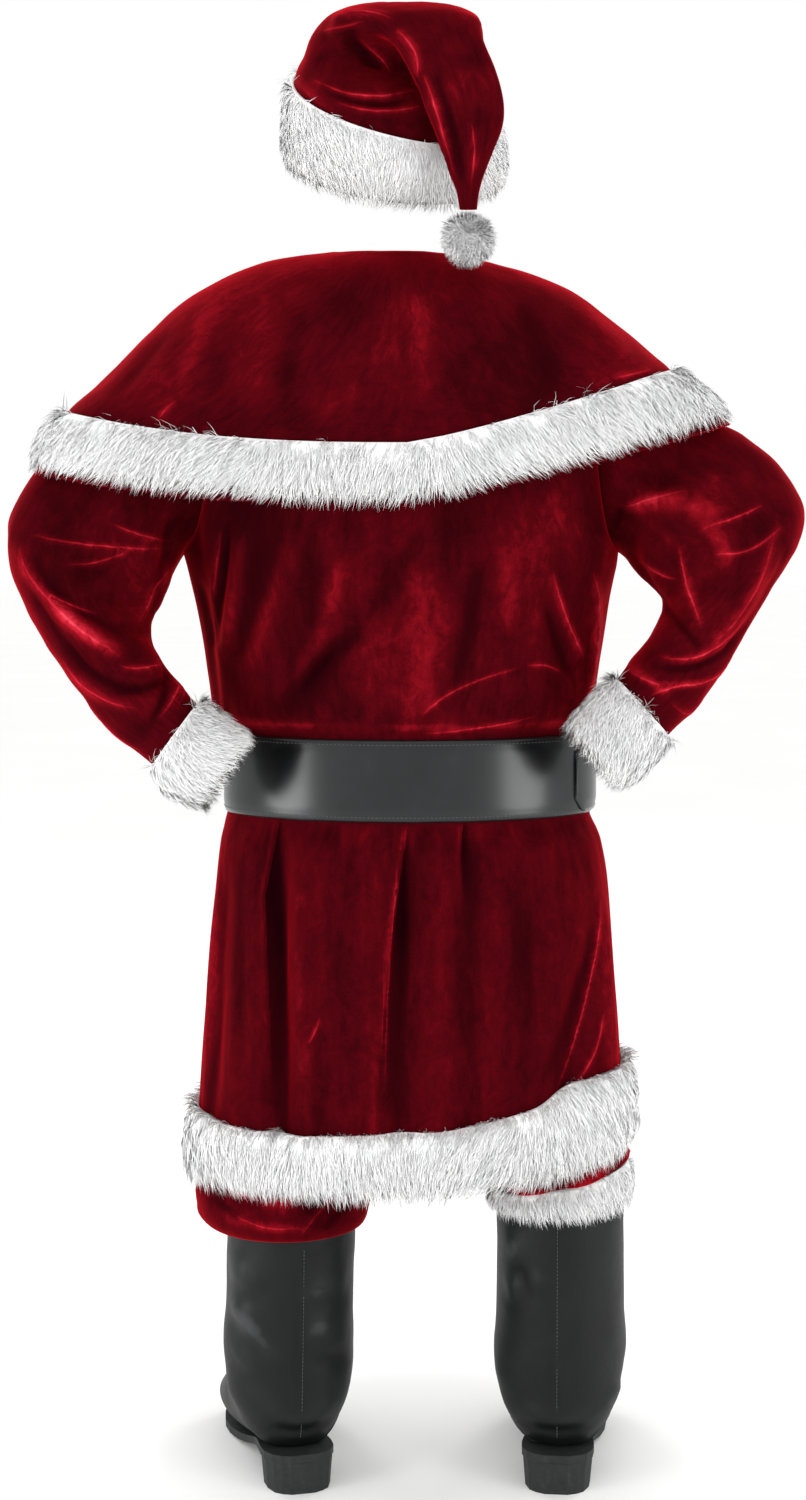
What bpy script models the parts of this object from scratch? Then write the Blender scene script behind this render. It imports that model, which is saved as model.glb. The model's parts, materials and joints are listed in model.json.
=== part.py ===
"""A Santa suit as it is worn: hat, cape, coat, belt, trousers and fur-topped boots, empty inside.

Metres, +Z up. The front of the suit faces -Y and the wearer's left is +X. The tables give heights
above the soles; the origin is HOLD_HEIGHT up, between the shoulders, where the wearer carries the suit.
"""

import math
from collections import namedtuple

import bmesh
import bpy
import numpy as np
from mathutils import Vector

HOLD_HEIGHT = 1.46
CLOTH = 0.002  # velvet wall
LEATHER = 0.003  # belt and boot wall
SEAM = 0.0003  # between two pieces along a seam
LIE = 0.0009  # under a strip that lies on a panel

FUR_HEM = 0.020
FUR_CAPE = 0.017
FUR_CUFF = 0.014
FUR_BOOT = 0.012
FUR_HAT = 0.014
FUR_FRONT = 0.012

# ---------------------------------------------------------------- coat sizes

# Level cuts through the coat: how far the cloth reaches to each side of the middle.
Section = namedtuple("Section", "height left right back front square")
WAIST = Section(0.855, 0.222, 0.226, 0.140, 0.155, 2.0)
COAT = (
    Section(0.380, 0.266, 0.278, 0.176, 0.186, 2.1),
    Section(0.500, 0.259, 0.270, 0.172, 0.184, 2.1),
    Section(0.680, 0.245, 0.257, 0.166, 0.182, 2.1),
    Section(0.760, 0.238, 0.250, 0.161, 0.178, 2.1),
    Section(0.820, 0.231, 0.240, 0.153, 0.170, 2.1),
    Section(0.848, 0.224, 0.228, 0.142, 0.157, 2.0),
    WAIST,
    WAIST._replace(height=0.960),
    Section(0.970, 0.231, 0.229, 0.148, 0.164, 2.0),
    Section(0.985, 0.239, 0.231, 0.155, 0.172, 2.1),
    Section(1.020, 0.244, 0.234, 0.158, 0.176, 2.2),
    Section(1.060, 0.250, 0.239, 0.158, 0.176, 2.2),
    Section(1.110, 0.259, 0.245, 0.157, 0.172, 2.2),
    Section(1.175, 0.274, 0.258, 0.156, 0.165, 2.2),
)
UNDERARM_HEIGHT = 1.175
HEM_TURN = 0.008  # the fur's lower edge hangs this far below the cloth's
FUR_OVER_HEM = 0.008  # clear of the hem fur's rounded upper edge
BELT_BOTTOM = 0.858
BELT_TOP = 0.956
SKIRT_ROWS = (0.26, 0.50, 0.72, 0.89)  # shares of the way from the hem fur up to the belt
WAIST_ROWS = (0.850, 0.858, 0.956, 0.968, 0.985, 1.020, 1.065, 1.120)

# The lower edge of the coat and the upper edge of its fur, round from the left side by the back.
HemPoint = namedtuple("HemPoint", "angle bottom fur_top")
HEM = (
    HemPoint(0, 0.400, 0.490),
    HemPoint(45, 0.412, 0.484),
    HemPoint(90, 0.418, 0.492),
    HemPoint(122, 0.424, 0.514),
    HemPoint(140, 0.432, 0.540),
    HemPoint(180, 0.443, 0.548),
    HemPoint(270, 0.425, 0.505),
    HemPoint(360, 0.400, 0.490),
)

# Above the underarm: the armhole's edge, and the middle of the back and of the front at that row.
Yoke = namedtuple("Yoke", "edge_x edge_back edge_front edge_height back back_height front front_height")
YOKE = (
    Yoke(0.266, 0.000, 0.000, 1.175, 0.156, 1.175, 0.165, 1.175),
    Yoke(0.249, 0.052, 0.050, 1.196, 0.160, 1.222, 0.166, 1.215),
    Yoke(0.236, 0.080, 0.076, 1.242, 0.162, 1.275, 0.164, 1.258),
    Yoke(0.228, 0.090, 0.084, 1.300, 0.156, 1.332, 0.158, 1.305),
    Yoke(0.226, 0.080, 0.076, 1.358, 0.141, 1.390, 0.146, 1.352),
    Yoke(0.230, 0.048, 0.046, 1.410, 0.114, 1.445, 0.124, 1.402),
    Yoke(0.236, 0.000, 0.000, 1.438, 0.078, 1.495, 0.090, 1.450),
)
YOKE_STEPS = 8
NECK_HALF_WIDTH = 0.088
NECK_SIDE_HEIGHT = 1.500
SHOULDER_TILT = 0.06  # rise per metre towards the wearer's left

# Soft folds: a ridge where depth is above zero and a trough below, along a line on the coat.
Fold = namedtuple("Fold", "angle_low low angle_high high depth width")
COAT_FOLDS = (
    Fold(55, 0.44, 50, 0.84, -0.016, 5.0),
    Fold(63, 0.44, 58, 0.84, 0.006, 5.0),
    Fold(88, 0.44, 90, 0.84, -0.015, 5.0),
    Fold(98, 0.44, 98, 0.84, 0.006, 5.0),
    Fold(106, 0.60, 108, 0.84, -0.007, 5.0),
    Fold(127, 0.46, 148, 0.70, -0.009, 6.0),
    Fold(160, 0.46, 163, 0.76, 0.006, 7.0),
    Fold(22, 0.46, 20, 0.80, -0.008, 7.0),
    Fold(305, 0.44, 308, 0.84, -0.014, 6.0),
    Fold(232, 0.44, 230, 0.84, -0.014, 6.0),
    Fold(335, 0.46, 338, 0.78, 0.007, 7.0),
    Fold(203, 0.46, 205, 0.78, 0.007, 7.0),
    Fold(56, 0.965, 76, 1.06, -0.007, 7.0),
    Fold(94, 0.97, 116, 1.05, -0.005, 7.0),
    Fold(127, 1.00, 126, 1.12, 0.005, 6.0),
    Fold(152, 0.97, 156, 1.10, 0.006, 7.0),
    Fold(16, 0.98, 18, 1.14, -0.006, 6.0),
    Fold(236, 0.97, 232, 1.12, -0.006, 8.0),
    Fold(304, 0.97, 310, 1.12, -0.006, 8.0),
)

# The columns of the coat's panels, in degrees round it, closer together where the pleats are.
BACK_ANGLES = (
    0, 8, 16, 24, 32, 40, 46, 51, 56, 62, 69, 77, 84,
    89, 94, 100, 107, 114, 121, 128, 136, 144, 152, 161, 170, 180,
)
FRONT_RIGHT_ANGLES = (180, 192, 204, 216, 226, 234, 242, 251, 260, 270)
FRONT_LEFT_ANGLES = (270, 280, 289, 298, 306, 314, 324, 336, 348, 360)

# ---------------------------------------------------------------- belt sizes

BELT_END_FROM = 152  # degrees round the waist: the belt's free end lies on the belt here
BELT_END_TO = 192
BELT_END_INSET = 0.003
BUCKLE_HALF_WIDTH = 0.052
BUCKLE_HALF_HEIGHT = 0.0505
BUCKLE_BAR = 0.011
BUCKLE_THICK = 0.004
BUCKLE_CORNER = 0.012
BUCKLE_CORNER_STEPS = 4
BAR_SIDES = (1, -1, 1, -1)  # which side each bar is on, after each corner
PRONG_HALF_WIDTH = 0.004
PRONG_THICK = 0.003

# ---------------------------------------------------------------- sleeve sizes

# Cuts across a sleeve: its outer and inner side seen from behind, and how deep it is.
Cut = namedtuple("Cut", "outer_x outer_height inner_x inner_height middle_y depth")
LEFT_SLEEVE = (
    Cut(0.296, 1.418, 0.284, 1.150, 0.012, 0.090),
    Cut(0.356, 1.368, 0.292, 1.128, 0.034, 0.086),
    Cut(0.413, 1.311, 0.300, 1.110, 0.045, 0.080),
    Cut(0.455, 1.255, 0.306, 1.099, 0.059, 0.080),
    Cut(0.476, 1.205, 0.307, 1.090, 0.076, 0.081),
    Cut(0.470, 1.160, 0.305, 1.078, 0.092, 0.081),
    Cut(0.449, 1.110, 0.300, 1.066, 0.106, 0.076),
    Cut(0.420, 1.058, 0.293, 1.054, 0.112, 0.068),
    Cut(0.382, 1.005, 0.283, 1.038, 0.118, 0.058),
    Cut(0.344, 0.960, 0.269, 1.021, 0.125, 0.053),
    Cut(0.304, 0.930, 0.252, 1.003, 0.133, 0.044),
    Cut(0.276, 0.904, 0.222, 0.974, 0.141, 0.042),
    Cut(0.236, 0.882, 0.189, 0.955, 0.148, 0.040),
)
RIGHT_SLEEVE = (
    Cut(0.294, 1.388, 0.268, 1.166, 0.012, 0.090),
    Cut(0.348, 1.345, 0.278, 1.150, 0.034, 0.086),
    Cut(0.405, 1.313, 0.288, 1.138, 0.055, 0.082),
    Cut(0.448, 1.271, 0.298, 1.128, 0.071, 0.081),
    Cut(0.470, 1.224, 0.304, 1.118, 0.085, 0.080),
    Cut(0.461, 1.184, 0.303, 1.107, 0.096, 0.077),
    Cut(0.437, 1.143, 0.297, 1.094, 0.104, 0.072),
    Cut(0.409, 1.096, 0.289, 1.081, 0.111, 0.066),
    Cut(0.378, 1.046, 0.278, 1.066, 0.118, 0.058),
    Cut(0.344, 0.998, 0.264, 1.050, 0.125, 0.053),
    Cut(0.312, 0.967, 0.252, 1.034, 0.134, 0.044),
    Cut(0.277, 0.932, 0.222, 0.994, 0.144, 0.042),
    Cut(0.243, 0.907, 0.190, 0.966, 0.151, 0.040),
)
CUFF_FROM = -3  # the fur cuff covers the last three cuts

# ---------------------------------------------------------------- cape sizes

# Rows of the cape from the neck out: reach and height at the left, the right, the back and the front.
Ring = namedtuple("Ring", "left left_h right right_h back back_h front front_h square")
CAPE = (
    Ring(0.094, 1.532, 0.094, 1.522, 0.086, 1.528, 0.100, 1.482, 2.0),
    Ring(0.150, 1.526, 0.144, 1.510, 0.118, 1.508, 0.134, 1.458, 2.0),
    Ring(0.204, 1.511, 0.196, 1.490, 0.148, 1.476, 0.162, 1.424, 2.1),
    Ring(0.260, 1.482, 0.240, 1.458, 0.172, 1.432, 0.186, 1.380, 2.3),
    Ring(0.312, 1.434, 0.272, 1.431, 0.184, 1.384, 0.198, 1.330, 2.6),
    Ring(0.362, 1.386, 0.295, 1.411, 0.188, 1.340, 0.202, 1.280, 2.8),
    Ring(0.410, 1.341, 0.318, 1.390, 0.190, 1.302, 0.204, 1.232, 3.2),
    Ring(0.448, 1.272, 0.388, 1.328, 0.194, 1.230, 0.206, 1.156, 3.4),
)
CAPE_RISE_LEFT = 2.6  # how late the hem rises on its way round to each arm
CAPE_RISE_RIGHT = 1.2
CAPE_COLUMNS = 44
CLASP_RADIUS = 0.013
CLASP_FACE_RADIUS = 0.0117
CLASP_THICKNESS = 0.004
CLASP_ABOVE = 0.0013  # the cloth under it is curved
CLASP_SIDES = 20

# ---------------------------------------------------------------- hat sizes

# Cuts across the hat from its rim up over the top and down the tail. Pitch turns a level cut
# backwards, and roll lifts its left side.
HatCut = namedtuple("HatCut", "x y height half_width half_depth pitch roll square")
HAT = (
    HatCut(0.016, -0.012, 1.636, 0.125, 0.117, 27, 6, 2.1),
    HatCut(0.0145, 0.020, 1.704, 0.1235, 0.116, 27, 13, 2.1),
    HatCut(0.012, 0.030, 1.738, 0.113, 0.096, 30, 11, 2.1),
    HatCut(0.010, 0.038, 1.764, 0.104, 0.072, 40, 8, 2.3),
    HatCut(0.005, 0.055, 1.781, 0.095, 0.045, 62, 4, 2.5),
    HatCut(0.000, 0.083, 1.786, 0.084, 0.027, 90, 0, 2.6),
    HatCut(-0.018, 0.113, 1.780, 0.066, 0.020, 122, 0, 2.4),
    HatCut(-0.036, 0.133, 1.757, 0.052, 0.017, 150, 0, 2.2),
    HatCut(-0.052, 0.146, 1.724, 0.049, 0.016, 168, 0, 2.2),
    HatCut(-0.064, 0.150, 1.690, 0.046, 0.015, 176, 0, 2.2),
    HatCut(-0.0695, 0.151, 1.653, 0.0365, 0.014, 180, 0, 2.1),
    HatCut(-0.0685, 0.150, 1.616, 0.0225, 0.012, 181, 0, 2.0),
    HatCut(-0.0695, 0.149, 1.585, 0.0125, 0.009, 182, 0, 2.0),
    HatCut(-0.070, 0.148, 1.568, 0.010, 0.008, 182, 0, 2.0),
)
HAT_COLUMNS = 20
POMPOM_RADIUS = 0.033

# ---------------------------------------------------------------- trouser and boot sizes

# Cuts across one leg: height at its middle, rise per metre outwards, outer reach, width, the middle
# front to back, depth, and how far round from its outside the cloth runs.
LegCut = namedtuple("LegCut", "height rise reach half_width middle_y back front wrap")
LEFT_LEG = (
    LegCut(0.346, 0.00, 0.2375, 0.0865, -0.018, 0.087, 0.087, 179.6),
    LegCut(0.332, 0.00, 0.2490, 0.0970, -0.018, 0.100, 0.098, 179.6),
    LegCut(0.350, 0.00, 0.2660, 0.1090, -0.018, 0.114, 0.108, 179.6),
    LegCut(0.380, 0.00, 0.2690, 0.1110, -0.018, 0.120, 0.110, 179.6),
    LegCut(0.405, 0.00, 0.2520, 0.1030, -0.016, 0.114, 0.101, 179.6),
    LegCut(0.450, 0.00, 0.2450, 0.0990, -0.014, 0.112, 0.100, 179.6),
    LegCut(0.560, 0.00, 0.2260, 0.0990, -0.010, 0.112, 0.110, 179.6),
    LegCut(0.770, 0.00, 0.2130, 0.1060, 0.000, 0.120, 0.118, 179.6),
)
RIGHT_LEG = (
    LegCut(0.405, 0.22, 0.2774, 0.0826, -0.018, 0.0831, 0.0831, 179.6),
    LegCut(0.399, 0.22, 0.2810, 0.0870, -0.018, 0.090, 0.089, 179.6),
    LegCut(0.411, 0.22, 0.2780, 0.0880, -0.018, 0.094, 0.090, 179.6),
    LegCut(0.432, 0.15, 0.2600, 0.0850, -0.018, 0.098, 0.088, 179.6),
    LegCut(0.480, 0.00, 0.2520, 0.0880, -0.016, 0.104, 0.094, 179.6),
    LegCut(0.580, 0.00, 0.2320, 0.0960, -0.010, 0.110, 0.108, 179.6),
    LegCut(0.770, 0.00, 0.2140, 0.1065, 0.000, 0.120, 0.118, 179.6),
)
# Above the crotch both legs run to the middle, so width follows from reach and wrap.
HIP = (
    LegCut(0.800, 0.00, 0.2130, None, 0.0, 0.122, 0.120, 150.0),
    LegCut(0.835, 0.00, 0.2130, None, 0.0, 0.126, 0.128, 115.0),
    LegCut(0.870, 0.00, 0.2140, None, 0.0, 0.130, 0.138, 96.0),
    LegCut(0.905, 0.00, 0.2175, None, 0.0, 0.1355, 0.1505, 90.0),
)
LEG_COLUMNS = 16
WAISTBAND_TOP = 0.945
WAISTBAND = 0.002

BootCut = namedtuple("BootCut", "y height half_width half_depth pitch")
SHAFT = (
    BootCut(0.017, 0.418, 0.0800, 0.0810, 180),
    BootCut(0.017, 0.350, 0.0805, 0.0815, 180),
    BootCut(0.013, 0.290, 0.0810, 0.0830, 180),
    BootCut(0.007, 0.220, 0.0815, 0.0840, 178),
    BootCut(0.000, 0.170, 0.0840, 0.0870, 168),
    BootCut(-0.006, 0.125, 0.0800, 0.0930, 150),
    BootCut(-0.014, 0.108, 0.0730, 0.0950, 138),
)
FOOT = (
    BootCut(-0.014, 0.108, 0.0730, 0.0950, 138),
    BootCut(-0.055, 0.090, 0.0700, 0.0740, 120),
    BootCut(-0.100, 0.067, 0.0700, 0.0560, 103),
    BootCut(-0.145, 0.053, 0.0660, 0.0440, 94),
    BootCut(-0.185, 0.044, 0.0550, 0.0350, 90),
    BootCut(-0.212, 0.039, 0.0380, 0.0250, 90),
    BootCut(-0.222, 0.037, 0.0200, 0.0150, 90),
)
BOOT_COLUMNS = 16

# The sole from heel to toe: its top's height above the floor and its half width.
SolePoint = namedtuple("SolePoint", "y top half_width")
SOLE = (
    SolePoint(0.090, 0.050, 0.016),
    SolePoint(0.080, 0.050, 0.036),
    SolePoint(0.050, 0.048, 0.046),
    SolePoint(0.010, 0.044, 0.044),
    SolePoint(-0.040, 0.028, 0.040),
    SolePoint(-0.090, 0.015, 0.050),
    SolePoint(-0.140, 0.012, 0.058),
    SolePoint(-0.180, 0.014, 0.052),
    SolePoint(-0.210, 0.018, 0.036),
    SolePoint(-0.226, 0.021, 0.014),
)
SOLE_ROWS = 17
SOLE_THICKNESS = 0.010
UPPER_ON_SOLE = 0.0022
HEEL_LENGTH = 0.070
HEEL_TOP_SHARE = 0.97  # of the sole's width
HEEL_TIP_SHARE = 0.90

# Where each boot stands, and the fur round its top: the upper edge may rise outwards, per metre.
BootPlace = namedtuple("BootPlace", "side x y turn fur_bottom fur_top fur_rise")
BOOTS = (
    BootPlace("left", 0.151, -0.035, 14.0, 0.362, 0.420, 0.0),
    BootPlace("right", -0.196, -0.035, -6.0, 0.360, 0.392, 0.22),
)


# ---------------------------------------------------------------- tables and grids


def column(rows, name):
    return np.array([getattr(row, name) for row in rows], float)


def along(knots, values, at):
    """Values at any place between a table's rows: a cubic through them, kept from overshooting."""
    knots, values, at = np.asarray(knots, float), np.asarray(values, float), np.asarray(at, float)
    step = np.diff(knots)
    rise = np.diff(values) / step
    slope = np.zeros(len(knots))
    same_way = rise[1:] * rise[:-1] > 0
    weight = (step[1:] + 2 * step[:-1]) / (3 * (step[1:] + step[:-1]))
    middle = np.zeros(len(rise) - 1)
    low, high = rise[:-1][same_way], rise[1:][same_way]
    share = weight[same_way]
    middle[same_way] = low * high / (share * high + (1 - share) * low)
    slope[1:-1] = middle
    slope[0], slope[-1] = rise[0], rise[-1]
    at = np.clip(at, knots[0], knots[-1])
    i = np.clip(np.searchsorted(knots, at, side="right") - 1, 0, len(step) - 1)
    t = (at - knots[i]) / step[i]
    return (
        values[i] * (1 + 2 * t) * (1 - t) ** 2
        + values[i + 1] * t * t * (3 - 2 * t)
        + step[i] * (slope[i] * t * (1 - t) ** 2 + slope[i + 1] * t * t * (t - 1))
    )


def resampled(rows, count):
    """The table's columns at count even steps from its first row to its last."""
    knots = np.arange(len(rows))
    at = np.linspace(0, len(rows) - 1, count)
    return {name: along(knots, column(rows, name), at) for name in rows[0]._fields}


def squared(wave, square):
    """A cosine or sine raised so that a round ring turns into a fuller, squarer one."""
    return np.sign(wave) * np.abs(wave) ** (2.0 / square)


def stacked(x, y, height):
    return np.stack(np.broadcast_arrays(x, y, np.asarray(height) - HOLD_HEIGHT), axis=-1)


def unit(vectors):
    length = np.linalg.norm(vectors, axis=-1, keepdims=True)
    return vectors / np.maximum(length, 1e-12)


def normals_of(grid, closed, centre=None):
    """Outward normals of a grid of points [row, column]."""
    if closed:
        across = np.roll(grid, -1, axis=1) - np.roll(grid, 1, axis=1)
    else:
        across = np.gradient(grid, axis=1)
    up = np.gradient(grid, axis=0)
    normals = unit(np.cross(across, up))
    middle = grid.mean(axis=1, keepdims=True) if centre is None else centre
    outward = np.sum(normals * (grid - middle), axis=-1)
    return normals if outward.mean() > 0 else -normals


def share_edges(grids, normals):
    """Where grids of one garment meet in the same points, both get the mean of their normals."""
    met = {}
    for key, grid in grids.items():
        rows, columns = grid.shape[:2]
        for i in range(rows):
            for j in range(columns):
                if i in (0, rows - 1) or j in (0, columns - 1):
                    place = tuple(np.round(grid[i, j] / 1e-5).astype(int))
                    met.setdefault(place, []).append((key, i, j))
    for users in met.values():
        mean = sum(normals[key][i, j] for key, i, j in users)
        mean = mean / max(np.linalg.norm(mean), 1e-9)
        for key, i, j in users:
            normals[key][i, j] = mean


def drawn_in(points, amount, rows=(True, True), columns=(True, True)):
    """The grid with its outermost rows and columns drawn towards their neighbours."""
    out = points.copy()
    for use, edge, inner in ((rows[0], 0, 1), (rows[1], -1, -2)):
        if use:
            out[edge] += unit(points[inner] - points[edge]) * amount
    for use, edge, inner in ((columns[0], 0, 1), (columns[1], -1, -2)):
        if use:
            out[:, edge] += unit(points[:, inner] - points[:, edge]) * amount
    return out


# ---------------------------------------------------------------- meshes and materials


def linear(colour):
    """A colour written as sRGB hex, as the linear values that Blender takes."""
    parts = [int(colour[i : i + 2], 16) / 255 for i in (1, 3, 5)]
    return [v / 12.92 if v <= 0.04045 else ((v + 0.055) / 1.055) ** 2.4 for v in parts] + [1.0]


def make_material(name, colour, roughness, metallic=0.0):
    material = bpy.data.materials.new(name)
    material.use_nodes = True
    shader = material.node_tree.nodes["Principled BSDF"]
    shader.inputs["Base Color"].default_value = linear(colour)
    shader.inputs["Roughness"].default_value = roughness
    shader.inputs["Metallic"].default_value = metallic
    material.diffuse_color = linear(colour)
    return material


FINISHES = {
    "velvet": ("#6e0a16", 0.75, 0.0),
    "fur": ("#ebedec", 0.95, 0.0),
    "leatherette": ("#3a3f40", 0.45, 0.0),
    "boot_leatherette": ("#2f3333", 0.55, 0.0),
    "rubber": ("#1f2122", 0.7, 0.0),
    "brass": ("#c9a227", 0.3, 1.0),
}


def add_object(name, points, faces, finish):
    mesh = bpy.data.meshes.new(name)
    mesh.from_pydata([tuple(p) for p in points], [], faces)
    work = bmesh.new()
    work.from_mesh(mesh)
    bmesh.ops.recalc_face_normals(work, faces=work.faces)
    bmesh.ops.triangulate(work, faces=work.faces)
    if work.calc_volume(signed=True) < 0:
        bmesh.ops.reverse_faces(work, faces=work.faces)
    work.to_mesh(mesh)
    work.free()
    mesh.shade_smooth()
    mesh.set_sharp_from_angle(angle=math.radians(50))
    mesh.materials.append(make_material(name, *FINISHES[finish]))
    obj = bpy.data.objects.new(name, mesh)
    bpy.context.scene.collection.objects.link(obj)
    return obj


def wall(name, outer, inner, finish, closed, shut_end=False):
    """A closed wall between two grids of points [row, column]. shut_end fills the last row's rim."""
    rows, columns = outer.shape[:2]
    points = np.concatenate([outer.reshape(-1, 3), inner.reshape(-1, 3)])
    inside = rows * columns

    def at(layer, i, j):
        return layer * inside + i * columns + j % columns

    faces = []
    spans = columns if closed else columns - 1
    for i in range(rows - 1):
        for j in range(spans):
            for layer in (0, 1):
                quad = [at(layer, i, j), at(layer, i, j + 1), at(layer, i + 1, j + 1), at(layer, i + 1, j)]
                faces.append(quad if layer == 0 else quad[::-1])
    for j in range(spans):
        faces.append([at(0, 0, j + 1), at(0, 0, j), at(1, 0, j), at(1, 0, j + 1)])
        if not shut_end:
            last = rows - 1
            faces.append([at(0, last, j), at(0, last, j + 1), at(1, last, j + 1), at(1, last, j)])
    if shut_end:
        faces.append([at(0, rows - 1, j) for j in range(columns)])
        faces.append([at(1, rows - 1, j) for j in range(columns)][::-1])
    if not closed:
        for i in range(rows - 1):
            faces.append([at(0, i, 0), at(0, i + 1, 0), at(1, i + 1, 0), at(1, i, 0)])
            last = columns - 1
            faces.append([at(0, i + 1, last), at(0, i, last), at(1, i, last), at(1, i + 1, last)])
    return add_object(name, points, faces, finish)


# The outer side of a fur strip: the share of the way across it, and of its thickness.
FUR_PROFILE = ((-0.05, 0.45), (0.12, 0.88), (0.5, 1.0), (0.88, 0.88), (1.05, 0.45))


def fur_strip(name, lines, outs, thickness, closed):
    """A full-bodied strip that lies on two or more lines [line, point], which run side by side along it."""
    last = len(lines) - 1
    section = []
    for share, rise in FUR_PROFILE:
        i = min(max(math.floor(share * last), 0), last - 1)
        part = share * last - i
        base = lines[i] * (1 - part) + lines[i + 1] * part
        out = unit(outs[i] * (1 - part) + outs[i + 1] * part)
        section.append(base + out * (LIE + rise * thickness))
    section += [lines[i] + outs[i] * LIE for i in range(last, -1, -1)]
    grid = np.stack(section)
    sides, count = grid.shape[:2]
    faces = []
    for i in range(sides):
        for j in range(count if closed else count - 1):
            k, m = (j + 1) % count, (i + 1) % sides
            faces.append([i * count + j, i * count + k, m * count + k, m * count + j])
    if not closed:
        faces.append([i * count for i in range(sides)])
        faces.append([i * count + count - 1 for i in range(sides)][::-1])
    return add_object(name, grid.reshape(-1, 3), faces, "fur")


# ---------------------------------------------------------------- coat


def fold_depth(angle, height):
    """How far the folds move the coat's cloth out at these places."""
    depth = np.zeros(np.broadcast(angle, height).shape)
    for fold in COAT_FOLDS:
        share = (height - fold.low) / (fold.high - fold.low)
        centre = fold.angle_low + (fold.angle_high - fold.angle_low) * share
        inside = np.clip(1 - np.abs(2 * share - 1) ** 4, 0, 1)
        depth = depth + fold.depth * inside * np.exp(-(((angle - centre) / fold.width) ** 2))
    return depth


def coat_at(angle, height):
    """Points of the coat's outside below the underarms, at angles in degrees from the left by the back."""
    angle, height = np.broadcast_arrays(np.asarray(angle, float), np.asarray(height, float))
    knots = column(COAT, "height")
    reach = {name: along(knots, column(COAT, name), height) for name in ("left", "right", "back", "front")}
    square = along(knots, column(COAT, "square"), height)
    across = squared(np.cos(np.radians(angle)), square)
    deep = squared(np.sin(np.radians(angle)), square)
    wide = np.where(across > 0, reach["left"], reach["right"])
    thick = np.where(deep > 0, reach["back"], reach["front"])
    x, y = across * wide, deep * thick
    slope = unit(np.stack([x / wide**2, y / thick**2], axis=-1))
    out = fold_depth(angle, height)
    return stacked(x + slope[..., 0] * out, y + slope[..., 1] * out, height)


def coat_out(angle, height):
    """Outward normals of the coat at the same places."""
    small = 0.2
    across = coat_at(angle + small, height) - coat_at(angle - small, height)
    up = coat_at(angle, height + 0.001) - coat_at(angle, height - 0.001)
    return unit(np.cross(across, up))


def hem_line(angle, name):
    return along(column(HEM, "angle"), column(HEM, name), np.mod(angle, 360.0))


def lower_rows(angles):
    """The heights of the coat's rows from the hem to the underarm, at each angle."""
    rows = [hem_line(angles, "bottom") + HEM_TURN, hem_line(angles, "fur_top")]
    rows += [rows[1] + (WAIST_ROWS[0] - rows[1]) * share for share in SKIRT_ROWS]
    rows += [np.full(len(angles), height) for height in WAIST_ROWS + (UNDERARM_HEIGHT,)]
    return np.stack(rows)


def yoke_rows(angles, back):
    """The rows from the underarm to the shoulder seam, over the back or over the front."""
    table = resampled(YOKE, YOKE_STEPS + 1)
    edge_y = table["edge_back"] if back else -table["edge_front"]
    middle_y = table["back"] if back else -table["front"]
    middle_height = table["back_height"] if back else table["front_height"]
    across = squared(np.cos(np.radians(angles)), 2.2)
    deep = np.abs(squared(np.sin(np.radians(angles)), 2.2))
    underarm = COAT[-1]
    rows = []
    for i in range(1, YOKE_STEPS + 1):
        share = i / YOKE_STEPS
        uneven = np.where(across > 0, underarm.left, underarm.right) / YOKE[0].edge_x
        wide = table["edge_x"][i] * (uneven * (1 - share) + share)
        x = across * wide
        y = edge_y[i] + (middle_y[i] - edge_y[i]) * deep
        height = table["edge_height"][i] + (middle_height[i] - table["edge_height"][i]) * deep**1.5
        # The last row follows the shoulder seam and then the neck.
        into_neck = np.clip(1 - (x / NECK_HALF_WIDTH) ** 2, 0, None)
        slope = (YOKE[-1].edge_height - NECK_SIDE_HEIGHT) / (YOKE[-1].edge_x - NECK_HALF_WIDTH)
        seam_y = middle_y[-1] * np.sqrt(into_neck)
        on_shoulder = NECK_SIDE_HEIGHT + slope * (np.abs(x) - NECK_HALF_WIDTH)
        on_neck = NECK_SIDE_HEIGHT + (middle_height[-1] - NECK_SIDE_HEIGHT) * into_neck
        seam_height = np.where(np.abs(x) > NECK_HALF_WIDTH, on_shoulder, on_neck)
        near = share**6
        y = y * (1 - near) + seam_y * near
        height = height * (1 - near) + seam_height * near
        rows.append(stacked(x, y, height + SHOULDER_TILT * x * share))
    return np.stack(rows)


def coat_angles():
    """The columns of the back, the right front and the left front, sharing their ends."""
    panels = {
        "coat_back": BACK_ANGLES,
        "coat_front_right": FRONT_RIGHT_ANGLES,
        "coat_front_left": FRONT_LEFT_ANGLES,
    }
    return {name: np.array(angles, float) for name, angles in panels.items()}


def coat_grids():
    grids = {}
    for name, angles in coat_angles().items():
        lower = coat_at(angles[None, :], lower_rows(angles))
        grids[name] = np.concatenate([lower, yoke_rows(angles, name == "coat_back")])
    return grids


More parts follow.
